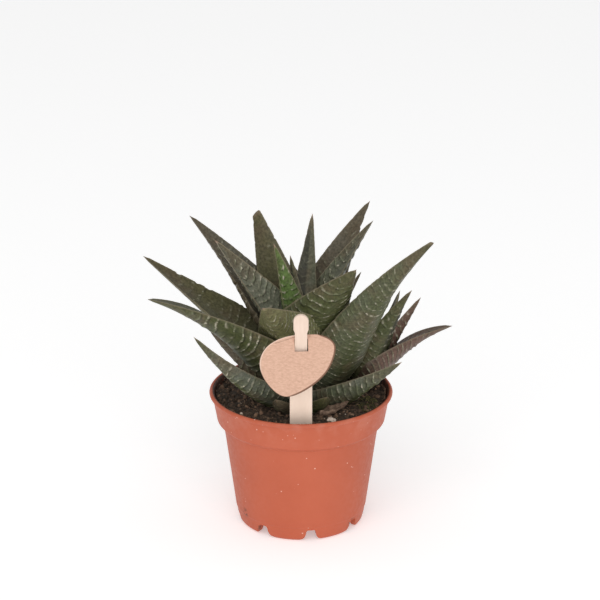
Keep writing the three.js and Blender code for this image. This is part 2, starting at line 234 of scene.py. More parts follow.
# A leaf starts beside its stem's axis, out by start, at the foot height, and points to its
# azimuth, counted from +X towards +Y, which changes by swing along it. It climbs at rise
# degrees at its foot and at rise + curl at its tip, and is rolled about its own length by
# roll at its foot and roll + twist at its tip. A pointed leaf ends at 1, a blunt one a
# little sooner and a torn one below TORN_BELOW.
MAIN_LEAVES = [
    Leaf("leaf_01", 328, 6, 4, 60, 57, 22, 24, 14, -30, 0, 1),
    Leaf("leaf_02", 226, -16, 0, 60, 78, 22, 23, 28, 20, 0, 1),
    Leaf("leaf_03", 290, 0, 4, 60, 34, 20, 16, 20, 0, 0, 1),
    Leaf("leaf_04", 252, 0, 4, 60, 36, 20, 14, 20, 0, 0, 1),
    Leaf("leaf_05", 150, 0, 0, 62, 40, 20, 16, 20, 0, 0, 1),
    Leaf("leaf_06", 75, 0, 0, 62, 54, 22, 18, 10, 0, 0, 1),
    Leaf("leaf_07", 192, 0, 0, 64, 56, 20, 29, 20, 15, 0, 1),
    Leaf("leaf_08", 110, 0, 0, 66, 54, 24, 26, 8, 0, 0, 1),
    Leaf("leaf_09", 205, 0, 0, 67, 96, 36, 56, -40, 36, -41, 1),
    Leaf("leaf_10", 35, 0, 0, 68, 50, 22, 34, 8, 0, 0, 1),
    Leaf("leaf_11", 135, 0, 0, 70, 52, 24, 26, 8, 0, 0, 1),
    Leaf("leaf_12", 61.2, 0, 0, 72, 68, 9, 28, 0, 0, 0, 1),
    Leaf("leaf_13", 333, 0, 9, 69, 102, 29.5, 66.5, -25, -32, 0, 0.97),
    Leaf("leaf_14", 95, 0, 0, 78, 52, 24, 40, 4, 0, 0, 1),
    Leaf("leaf_15", 165, 0, 0, 80, 88, 28, 28, 4, -10, 0, 1),
    Leaf("leaf_16", 121, 0, 0, 80, 80, 28, 56, 0, 0, 0, 0.92),
    Leaf("leaf_17", 150, 0, 0, 88, 80, 28, 48, -14, -4, 0, 1),
    Leaf("leaf_18", 52.5, 0, 0, 90, 76, 25.5, 56, -22, 0, 0, 1),
    Leaf("leaf_19", 243, 0, 0, 92, 47, 34, 38, -6, 25, 0, 1),
    Leaf("leaf_20", 312, 0, 0, 92, 57, 30, 52, -6, -38, 0, 1),
    Leaf("leaf_21", 178, 0, 0, 93, 60, 20, 49, 0, -30, 0, 1),
    Leaf("leaf_22", 76, 0, 0, 95, 54, 12, 66, 0, 0, 0, 1),
    Leaf("leaf_23", 150, 0, 0, 97, 40, 12, 69, 0, -20, 0, 1),
    Leaf("leaf_24", 26, 0, 0, 97, 59, 18, 58, -14, 0, 0, 1),
    Leaf("leaf_25", 110, 0, 0, 98, 32, 7, 63, 0, 0, 0, 1),
]

SIDE_LEAVES = [
    Leaf("side_leaf_1", 8, 0, 0, 66, 53, 24, 55.5, -52, -40, 40, 1),
    Leaf("side_leaf_2", 18, 0, 0, 66, 49, 20, 56, -9, -40, 0, 1),
    Leaf("side_leaf_3", 330, 0, 0, 67, 57, 19, 69, -16, -25, 0, 1),
    Leaf("side_leaf_4", 10, 0, 0, 67, 47, 14, 62, 8, 0, 0, 1),
]

DEAD_LEAF = Leaf("dead_leaf", 12, 30, 0, 64.4, 17, 8, 2, 8, -14, 20, 1)

# What a leaf looks like: its flesh; the pitch of its ridges in millimetres, how far they bow
# towards the tip at the margins and slant across, and how strong they are; how strong the
# pale dashes and the raised pearls on them are; how light its margins are and how deep each
# one is nibbled in millimetres; how strong the painted grey sheen of one half is; which half
# is painted in shade; how light its dry tip is. Painted sheen and shade lie in the left half
# above 0 and in the right half below 0. Left is as seen from the stem, looking out along the leaf.
Look = namedtuple(
    "Look",
    "flesh pitch bow slant ridges dashes pearls edge bite_left bite_right sheen shaded tip",
    defaults=(3.0, 0.35, 0.0, 0.9, 0.5, 0.15, 0.6, 0.2, 0.2, 0, 0, 0.2),
)

LOOKS = {
    "leaf_01": Look("green", pitch=2.7, ridges=1.3, dashes=0.6, pearls=0.3, sheen=-1, tip=0.6),
    "leaf_02": Look("green", pitch=2.9, ridges=1.0, dashes=0.7, pearls=0.4, sheen=1, tip=0.3),
    "leaf_03": Look("green", pitch=2.7),
    "leaf_04": Look("brown", pitch=2.7, ridges=1.2),
    "leaf_05": Look("green"),
    "leaf_06": Look("grey"),
    "leaf_07": Look("brown", pitch=3.4, dashes=0.2, bite_left=0.3, bite_right=0.3),
    "leaf_08": Look("green"),
    "leaf_09": Look(
        "green", pitch=3.8, bow=0.4, ridges=1.0, dashes=0.8, pearls=0.4, bite_right=0.3, sheen=-1
    ),
    "leaf_10": Look("green"),
    "leaf_11": Look("grey"),
    "leaf_12": Look("brown", pitch=3.2, dashes=0.2, tip=0.0),
    "leaf_13": Look(
        "green", 2.8, bow=0.5, ridges=0.65, dashes=0.8, pearls=0.3, bite_left=0.3, bite_right=0.3, sheen=-0.35
    ),
    "leaf_14": Look("grey"),
    "leaf_15": Look("olive", pitch=4.4, bow=0.2, ridges=0.5, dashes=1.0, bite_left=0.3, bite_right=0.9),
    "leaf_16": Look("olive", pitch=4.0, bow=0.2, ridges=0.15, pearls=0.1, bite_left=0.4, bite_right=1.0),
    "leaf_17": Look(
        "brown", pitch=4.2, ridges=0.7, dashes=0.7, pearls=0.1, bite_left=1.0, sheen=-1, edge=0.4
    ),
    "leaf_18": Look("brown", pitch=4.0, ridges=0.5, bite_right=1.0, tip=0.5),
    "leaf_19": Look("yellow", pitch=2.1, bow=0.95, ridges=1.9, dashes=0.6, pearls=0.0, edge=0.9, tip=0.5),
    "leaf_20": Look(
        "green", pitch=2.9, bow=0.3, slant=0.6, ridges=1.6, pearls=0.1, edge=0.9, bite_right=0.4, tip=0.4
    ),
    "leaf_21": Look("silver", pitch=3.2, bow=0.45, ridges=1.2, dashes=0.6, pearls=0.7, edge=1.3, tip=1.0),
    "leaf_22": Look("grey", pitch=3.4, ridges=0.25, dashes=0.2, pearls=0.1, shaded=1, tip=0.7),
    "leaf_23": Look("bright", pitch=3.2, ridges=1.0, dashes=1.0, pearls=2.6, edge=1.0, tip=1.0),
    "leaf_24": Look(
        "grey", pitch=3.7, bow=0.55, ridges=1.4, dashes=0.6, pearls=0.3, edge=0.9, bite_right=0.3
    ),
    "leaf_25": Look("green", ridges=0.6, shaded=1, tip=0.5),
    "side_leaf_1": Look("red", pitch=2.6, dashes=0.3, tip=0.3),
    "side_leaf_2": Look("red", pitch=2.9, bow=0.5, ridges=1.1, dashes=1.0, pearls=0.9),
    "side_leaf_3": Look("green", dashes=0.6, pearls=0.6, shaded=1, tip=0.5),
    "side_leaf_4": Look("green"),
    "dead_leaf": Look("dry", pitch=2.6, ridges=0.7, dashes=0.0, pearls=0.0, bite_left=0.8, bite_right=0.8),
}

# The great right-hand leaf is carved away on one margin between these shares of its length
CARVED_LEAF = "leaf_13"
CARVED_FROM = 0.56
CARVED_TO = (0.62, 0.82)
CARVED_DEPTH = 1.9

# The label, in millimetres and degrees
STICK_LEAN = 6.0
STICK_FRONT = -34.6
STICK_THICKNESS = 1.6
STICK_TOP = 117.6
BOARD_THICKNESS = 1.5
BOARD_TILT = 30.0
BOARD_YAW = 5.0
BOARD_BELOW_TOP = 15.7
SLOT_WIDTH = 6.0
SLOT_SHIFT = 0.1
SLOT_HEIGHT = 5.6
SLOT_START = 118.0
BOARD_STEPS = 160
RIM_WIDTH = 0.95
BOARD_EASING = 0.15
STICK_EASING = 0.22
SCORCHED_WAY = (0.78, -0.62)
SCORCHED_SPAN = (0.25, 0.6)
# Where the painted highlight on the left rim fades in
PAINTED_HIGHLIGHT_SPAN = (0.1, 0.5)
FLAT_ANGLE = 1.0
EDGE_ANGLE = 40.0

# The board's outline round its slot: a pebble shape, broad at the top right and
# drawn out to the lower left, with x to the right and y up
BOARD_OUTLINE = [
    (-2.5, 4.7),
    (3, 4.8),
    (8, 4.6),
    (12, 3.3),
    (14.8, 0.9),
    (15.5, -2.2),
    (14, -7.5),
    (10.7, -13),
    (5.3, -17.8),
    (-1.8, -21.8),
    (-7.5, -23),
    (-11.5, -21.5),
    (-15.4, -17.5),
    (-18, -13),
    (-19, -8),
    (-18, -3.8),
    (-15.4, -0.2),
    (-11.5, 2.4),
    (-7, 4),
]

# The camera looks at a point above the pot's axis from this far away, in metres
CAMERA_ELEVATION = 21.0
CAMERA_DISTANCE = 1.3
CAMERA_AIM = (-0.00046, 0.0, 0.1093)
CAMERA_LENS = 168.83
CAMERA_SENSOR = 36.0
CAMERA_CLIP = 0.05

# The floor and the lamps, in metres
FLOOR_REACH = 6.0
LAMP_AIM = (0.0, 0.0, 0.07)
KEY_PLACE = (-0.3, -1.15, 1.15)
KEY_SIZE = 1.3
FILL_PLACE = (0.35, -1.4, 0.4)
FILL_SIZE = 1.2


def lerp(a, b, share):
    return a + (b - a) * share


def smooth(low, high, value):
    share = min(1.0, max(0.0, (value - low) / (high - low)))
    return share * share * (3 - 2 * share)


def between(spans, value):
    """1 between two spans, easing from 0 across the first and back to 0 across the second."""
    return smooth(*spans[0], value) * (1 - smooth(*spans[1], value))


def wobble(x, y, z):
    """Smooth noise between -1 and 1."""
    return noise.noise(Vector((x, y, z)))


def bent(start, bend, end, share):
    """A point on the quadratic curve from start to end that is drawn towards the bend."""
    return start.lerp(bend, share).lerp(bend.lerp(end, share), share)


def on_circle(radius, turn):
    return radius * math.cos(turn), radius * math.sin(turn)


# Making and finishing pieces


def to_mesh(name, shape):
    mesh = bpy.data.meshes.new(name)
    shape.to_mesh(mesh)
    shape.free()
    return mesh


def add_object(name, data):
    thing = bpy.data.objects.new(name, data)
    bpy.context.scene.collection.objects.link(thing)
    return thing


def add_piece(name, shape, material, replaced=None, sharp=None):
    """Turns a bmesh into a named piece that rides with the pot and wears a material."""
    mesh = to_mesh(name, shape)
    mesh.shade_smooth()
    if sharp is not None:
        mesh.set_sharp_from_angle(angle=math.radians(sharp))
    mesh.materials.append(material)
    piece = add_object(name, mesh)
    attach(piece, ROOT)
    if replaced:
        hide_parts(replaced)
    return piece


def rolled_grid(shape, turns, rows, place):
    """Adds a grid rolled into a tube: place(vert, around, along) gives each vertex its point."""
    made = bmesh.ops.create_grid(shape, x_segments=turns, y_segments=rows, size=1, calc_uvs=True)
    verts = made["verts"]
    for vert in verts:
        around = 0.5 + vert.co.x / 2
        along = 0.5 + vert.co.y / 2
        vert.co = place(vert, around, along)
    bmesh.ops.remove_doubles(shape, verts=verts, dist=SEAM)


def close_ends(shape):
    """Closes the open ends of tubes and turns all faces outwards."""
    rims = [edge for edge in shape.edges if edge.is_boundary]
    if rims:
        bmesh.ops.holes_fill(shape, edges=rims, sides=0)
    bmesh.ops.recalc_face_normals(shape, faces=shape.faces)


def new_shape():
    shape = bmesh.new()
    shape.loops.layers.uv.new("UVMap")
    return shape


def raise_faces(shape, height):
    """Extrudes all faces upwards and returns the raised ones."""
    made = bmesh.ops.extrude_face_region(shape, geom=shape.faces[:])["geom"]
    verts = [item for item in made if isinstance(item, bmesh.types.BMVert)]
    bmesh.ops.translate(shape, vec=(0, 0, height), verts=verts)
    return [item for item in made if isinstance(item, bmesh.types.BMFace)]


def settle(shape, place):
    """Moves a shape that was built in millimetres to its place, and brings it to metres."""
    bmesh.ops.transform(shape, matrix=place, verts=shape.verts)
    bmesh.ops.scale(shape, vec=(MM, MM, MM), verts=shape.verts)


def ease_edges(shape, edges, width, segments):
    bmesh.ops.bevel(
        shape, geom=edges, offset=width, segments=segments, profile=0.5, affect="EDGES", material=-1
    )


# Materials


class Finish:
    """A node material that is put together step by step, from node outputs and values."""

    def __init__(self, name):
        self.material = bpy.data.materials.new(name)
        self.material.use_nodes = True
        self.tree = self.material.node_tree
        self.shader = self.tree.nodes["Principled BSDF"]
        self.coordinates = self.add("TexCoord", {}, "Object")

    def feed(self, socket, value):
        if isinstance(value, bpy.types.NodeSocket):
            self.tree.links.new(value, socket)
        else:
            socket.default_value = value

    def add(self, kind, inputs, output, **fields):
        """Adds a node, sets its fields, feeds its inputs and returns one of its outputs."""
        node = self.tree.nodes.new("ShaderNode" + kind)
        for field, value in fields.items():
            setattr(node, field, value)
        for name, value in inputs.items():
            self.feed(node.inputs[name], value)
        return node.outputs[output]

    def attribute(self, name):
        return self.add("Attribute", {}, "Fac", attribute_name=name)

    def axis(self, name):
        return self.add("SeparateXYZ", {0: self.coordinates}, name)

    def distance(self, point):
        return self.add("VectorMath", {0: self.coordinates, 1: point}, "Value", operation="DISTANCE")

    def stretched(self, scale):
        return self.add("Mapping", {"Vector": self.coordinates, "Scale": scale}, "Vector")

    def cells(self, scale):
        """How far each point lies from the middle of its cell."""
        return self.add("TexVoronoi", {"Vector": self.coordinates, "Scale": scale}, "Distance")

    def noise(self, scale, detail, roughness=0.55, vector=None, distortion=0.0):
        inputs = {"Vector": vector or self.coordinates, "Scale": scale, "Detail": detail}
        inputs.update({"Roughness": roughness, "Distortion": distortion})
        return self.add("TexNoise", inputs, "Fac")

    def remap(self, value, span, out=(0.0, 1.0)):
        """Brings a value from one span to another with soft ends."""
        limits = dict(zip(("From Min", "From Max", "To Min", "To Max"), (*span, *out)))
        return self.add("MapRange", {"Value": value, **limits}, "Result", interpolation_type="SMOOTHSTEP")

    def mottle(self, scale, detail, span, out=(0.0, 1.0)):
        """Noise brought from one span to another."""
        return self.remap(self.noise(scale, detail), span, out)

    def calculate(self, operation, a, b=0.0):
        return self.add("Math", {0: a, 1: b}, 0, operation=operation)

    def times(self, a, b):
        return self.calculate("MULTIPLY", a, b)

    def away(self, value, middle):
        """How far a value lies from a middle one."""
        return self.calculate("ABSOLUTE", self.calculate("SUBTRACT", value, middle))

    def mix(self, share, a, b, blend="MIX"):
        inputs = {"Factor": share}
        for socket, colour in ((6, a), (7, b)):
            inputs[socket] = colour if isinstance(colour, bpy.types.NodeSocket) else (*colour, 1.0)
        return self.add("Mix", inputs, 2, data_type="RGBA", blend_type=blend)

    def cover(self, colour, *layers):
        """Lays colours over the first one, each by its own share."""
        for share, top in layers:
            colour = self.mix(share, colour, top)
        return colour

    def bump(self, height, strength, depth):
        inputs = {"Height": height, "Strength": strength, "Distance": depth}
        self.feed(self.shader.inputs["Normal"], self.add("Bump", inputs, "Normal"))

    def done(self, colour, roughness, specular=0.5):
        self.feed(self.shader.inputs["Base Color"], colour)
        self.feed(self.shader.inputs["Roughness"], roughness)
        self.feed(self.shader.inputs["Specular IOR Level"], specular)
        return self.material


def leaf_finish(name, flesh, settings):
    """Leaf skin: mottled flesh, painted sheen and shade, pale ridge lines and pearls, light margins."""
    finish = Finish(name)
    along = finish.attribute("along")
    # Painted shade towards a leaf's foot, where the leaves crowd together
    foot = finish.remap(along, span=(0.0, 0.34), out=(0.8, 0.0))
    cloud = finish.mottle(scale=140, detail=4, span=(0.35, 0.7), out=(0.45, 1.0))
    # Painted sheen: grey reflected light, on one half of some leaves and on every upper face
    painted_sheen = finish.times(finish.times(finish.attribute("sheen"), cloud), settings.painted_sheen)
    patches = finish.mottle(scale=80, detail=3, span=(0.46, 0.68), out=(0.0, 0.6))
    outwards = finish.remap(along, span=(0.55, 0.95), out=(0.0, 0.75))
    colour = finish.cover(
        flesh,
        (foot, settings.painted_shade_colour),
        (painted_sheen, settings.painted_sheen_colour),
        (patches, settings.bronze_colour),
        (finish.times(outwards, finish.noise(scale=160, detail=2)), settings.bronze_colour),
        # Painted shade on a leaf's dark half
        (finish.times(finish.attribute("shade"), settings.shade), settings.painted_shade_colour),
    )
    grain = finish.mottle(scale=900, detail=4, span=(0.3, 0.7), out=(0.72, 1.28))
    tone = finish.add("CombineColor", {0: grain, 1: grain, 2: grain}, 0)
    colour = finish.mix(1.0, colour, tone, "MULTIPLY")
    ridge = finish.attribute("ridge")
    cycle = finish.calculate("FRACT", finish.attribute("phase"))
    # Painted shade in the groove on the foot side of each crest
    painted_groove_shade = finish.remap(finish.away(cycle, GROOVE_SHADE_PHASE), span=(0.04, 0.18), out=(0.6, 0.0))
    crest = finish.remap(finish.away(cycle, CREST_PHASE), span=(0.02, 0.18), out=(1.0, 0.0))
    crest = finish.times(crest, ridge)
    broken = finish.mottle(scale=420, detail=2, span=(0.36, 0.62), out=(0.12, 0.68))
    dashes = finish.times(finish.mottle(scale=560, detail=1, span=(0.56, 0.64)), finish.attribute("dash"))
    colour = finish.cover(
        colour,
        (finish.times(painted_groove_shade, ridge), settings.painted_shade_colour),
        (finish.times(crest, broken), settings.crest_colour),
        (finish.times(crest, dashes), settings.pearl_colour),
        (finish.attribute("pearl"), settings.pearl_colour),
        (finish.attribute("margin"), settings.margin_colour),
        (finish.attribute("tip"), settings.tip_colour),
    )
    finish.bump(finish.noise(scale=1400, detail=3), strength=0.25, depth=0.2 * MM)
    roughness = finish.mottle(scale=220, detail=2, span=(0.3, 0.7), out=(0.36, 0.52))
    return finish.done(colour, roughness, specular=0.2)


def dry_leaf_finish(settings):
    """Shrivelled leaf: papery brown with paler veins."""
    finish = Finish("dry_leaf")
    fibre = finish.noise(scale=420, detail=5, roughness=0.65)
    colour = finish.mix(finish.remap(fibre, span=(0.35, 0.68)), settings.dark_colour, settings.pale_colour)
    colour = finish.mix(finish.times(finish.attribute("ridge"), 0.3), colour, settings.vein_colour)
    finish.bump(fibre, strength=0.6, depth=0.4 * MM)
    return finish.done(colour, roughness=0.85)


def stem_finish(settings):
    """Stem: pale green under the leaf bases, browner towards the soil."""
    finish = Finish("stem_skin")
    fibre = finish.noise(scale=260, detail=4, vector=finish.stretched((1, 1, 0.25)))
    # The darker fibres take the leaves' painted shade colour
    colour = finish.mix(finish.remap(fibre, span=(0.35, 0.7)), settings.painted_shade_colour, settings.stem_colour)
    low = finish.remap(finish.axis("Z"), span=(0.058, 0.075), out=(0.8, 0.0))
    colour = finish.mix(low, colour, settings.stem_foot_colour)
    finish.bump(fibre, strength=0.4, depth=0.4 * MM)
    return finish.done(colour, roughness=0.7)


def inside_wall(finish, height):
    """How much a point of the pot belongs to its wall's inner face, by its distance from the axis."""
    squares = [finish.calculate("POWER", finish.axis(name), 2.0) for name in ("X", "Y")]
    radius = finish.calculate("SQRT", finish.calculate("ADD", *squares))
    slope = (BAND_TOP_RADIUS - BAND_FOOT_RADIUS) / (POT_HEIGHT - LIP_DEPTH - BAND_FOOT)
    upright = finish.calculate("SUBTRACT", radius, finish.times(height, slope))
    brim = (BAND_TOP_RADIUS - 0.3 * WALL - slope * (POT_HEIGHT - LIP_DEPTH)) * MM
    within = finish.remap(upright, span=(brim - 0.25 * MM, brim + 0.15 * MM), out=(1.0, 0.0))
    above_foot = finish.remap(height, span=(BAND_FOOT * MM, (BAND_FOOT + 1) * MM))
    return finish.times(within, above_foot)


def pot_finish(settings):
    """Moulded plastic: mottling, a chalky band, dust, a stained foot and a darker inner wall."""
    finish = Finish("pot_plastic")
    height = finish.axis("Z")
    cloud = finish.mottle(scale=38, detail=3, span=(0.3, 0.7))
    near_top = finish.remap(height, span=(0.046, 0.066))
    chalk = finish.times(near_top, finish.mottle(scale=150, detail=4, span=(0.45, 0.75)))
    rarer_below = finish.remap(height, span=(0.048, 0.058), out=(0.595, 0.4))
    picked = finish.mottle(scale=120, detail=2, span=(rarer_below, 0.6))
    specks = finish.times(finish.remap(finish.cells(scale=380), span=(0.05, 0.17), out=(1.0, 0.0)), picked)
    colour = finish.cover(
        settings.deep_colour,
        (cloud, settings.colour),
        (finish.times(chalk, settings.chalk), settings.dust_colour),
        (finish.times(specks, settings.dust), settings.dust_colour),
    )
    for x, z, reach in STAINS:
        place = Vector((x, -math.sqrt(STAINED_RADIUS**2 - x * x), z)) * MM
        near = finish.remap(finish.distance(place), span=(0.2 * reach * MM, reach * MM), out=(1.0, 0.0))
        stain = finish.times(near, finish.mottle(scale=700, detail=3, span=(0.46, 0.55)))
        colour = finish.mix(finish.times(stain, settings.stains), colour, settings.stain_colour)
    # The inner face of the wall is darkened with the stain colour
    darker_inside = finish.mottle(scale=480, detail=4, span=(0.3, 0.55), out=(0.7, 1.0))
    colour = finish.mix(finish.times(inside_wall(finish, height), darker_inside), colour, settings.stain_colour)
    rough = settings.roughness
    roughness = finish.mottle(scale=500, detail=3, span=(0.3, 0.7), out=(rough - 0.06, rough + 0.1))
    finish.bump(finish.noise(scale=1500, detail=2), strength=0.12, depth=0.1 * MM)
    return finish.done(colour, roughness, specular=0.3)


def soil_finish(settings):
    """Peat: near black with browner lumps and small pale specks."""
    finish = Finish("peat")
    lumps = finish.noise(scale=420, detail=6, roughness=0.7)
    drier = finish.remap(lumps, span=(0.42, 0.72), out=(0.0, 0.5))
    picked = finish.mottle(scale=300, detail=2, span=(0.58, 0.64))
    specks = finish.times(finish.remap(finish.cells(scale=900), span=(0.1, 0.22), out=(1.0, 0.0)), picked)
    colour = finish.cover(
        settings.dark_colour,
        (drier, settings.pale_colour),
        (finish.times(specks, 0.5), settings.speck_colour),
    )
    finish.bump(lumps, strength=0.9, depth=0.9 * MM)
    return finish.done(colour, finish.remap(lumps, span=(0.3, 0.7), out=(0.75, 0.95)))


def tinted_finish(name, dark, pale, scale, roughness):
    """A mottled finish between two colours that follows the tone of each lump."""
    finish = Finish(name)
    mottle = finish.noise(scale, detail=4, roughness=0.65)
    darker = finish.remap(mottle, span=(0.4, 0.75), out=(0.0, 0.5))
    colour = finish.cover(dark, (finish.attribute("tone"), pale), (darker, dark))
    finish.bump(mottle, strength=0.6, depth=0.3 * MM)
    return finish.done(colour, roughness)


def stick_finish(settings):
    """Pale planed wood with fine grain along the stick, and painted light near the soil."""
    finish = Finish("stick_wood")
    along = finish.stretched((1.0, 1.0, 0.05))
    grain = finish.noise(scale=900, detail=5, roughness=0.6, vector=along, distortion=0.4)
    cloud = finish.mottle(scale=90, detail=3, span=(0.4, 0.75), out=(0.0, 0.35))
    # Painted light: the stick is brightened towards the soil, against the board's shadow
    low = finish.remap(finish.axis("Z"), span=(0.062, 0.098), out=(0.85, 0.0))
    colour = finish.cover(
        settings.stick_colour,
        (finish.remap(grain, span=(0.3, 0.72)), settings.stick_grain_colour),
        (cloud, settings.stick_grain_colour),
        (low, settings.stick_painted_light_colour),
    )
    finish.bump(grain, strength=0.25, depth=0.2 * MM)
    return finish.done(colour, roughness=0.7)


def board_finish(name, settings, burnt):
    """Warm board with short fibres or its burnt edge; its rim scorched or painted light as mark_rim says."""
    finish = Finish(name)
    fibre = finish.noise(scale=1500, detail=5, roughness=0.7, vector=finish.stretched((0.45, 1.0, 1.0)))
    face = settings.cut_colour if burnt else settings.board_colour
    dark = settings.cut_colour if burnt else settings.board_fibre_colour
    cloud = finish.mottle(scale=60, detail=4, span=(0.35, 0.75), out=(0.0, 0.3))
    rim = finish.attribute("rim")
    colour = finish.cover(
        face,
        (finish.remap(fibre, span=(0.34, 0.7)), dark),
        (cloud, dark),
        (finish.remap(rim, span=(0.15, 0.55), out=(0.0, 0.95)), settings.cut_colour),
        # A painted highlight lightens the rim at the left
        (finish.remap(rim, span=(-0.9, -0.3), out=(0.6, 0.0)), settings.rim_painted_highlight_colour),
    )
    finish.bump(fibre, strength=0.3, depth=0.2 * MM)
    return finish.done(colour, roughness=0.78)


# Leaves


def leaf_axes(leaf, t):
    rise = math.radians(leaf.rise + leaf.curl * t)
    azimuth = math.radians(leaf.azimuth + leaf.swing * t)
    roll = math.radians(leaf.roll + leaf.twist * t)
    along = Vector((math.cos(azimuth) * math.cos(rise), math.sin(azimuth) * math.cos(rise), math.sin(rise)))
    level = Vector((-math.sin(azimuth), math.cos(azimuth), 0.0))
    up = along.cross(level)
    side = level * math.cos(roll) + up * math.sin(roll)
    face = up * math.cos(roll) - level * math.sin(roll)
    return along, side, face


def leaf_spine(leaf, place, t):
    azimuth = math.radians(leaf.azimuth)
    x = place[0] + leaf.start * math.cos(azimuth)
    y = place[1] + leaf.start * math.sin(azimuth)
    point = Vector((x, y, leaf.foot))
    for i in range(SPINE_STEPS):
        along = leaf_axes(leaf, t * (i + 0.5) / SPINE_STEPS)[0]
        point += along * (leaf.length * t / SPINE_STEPS)
    return point


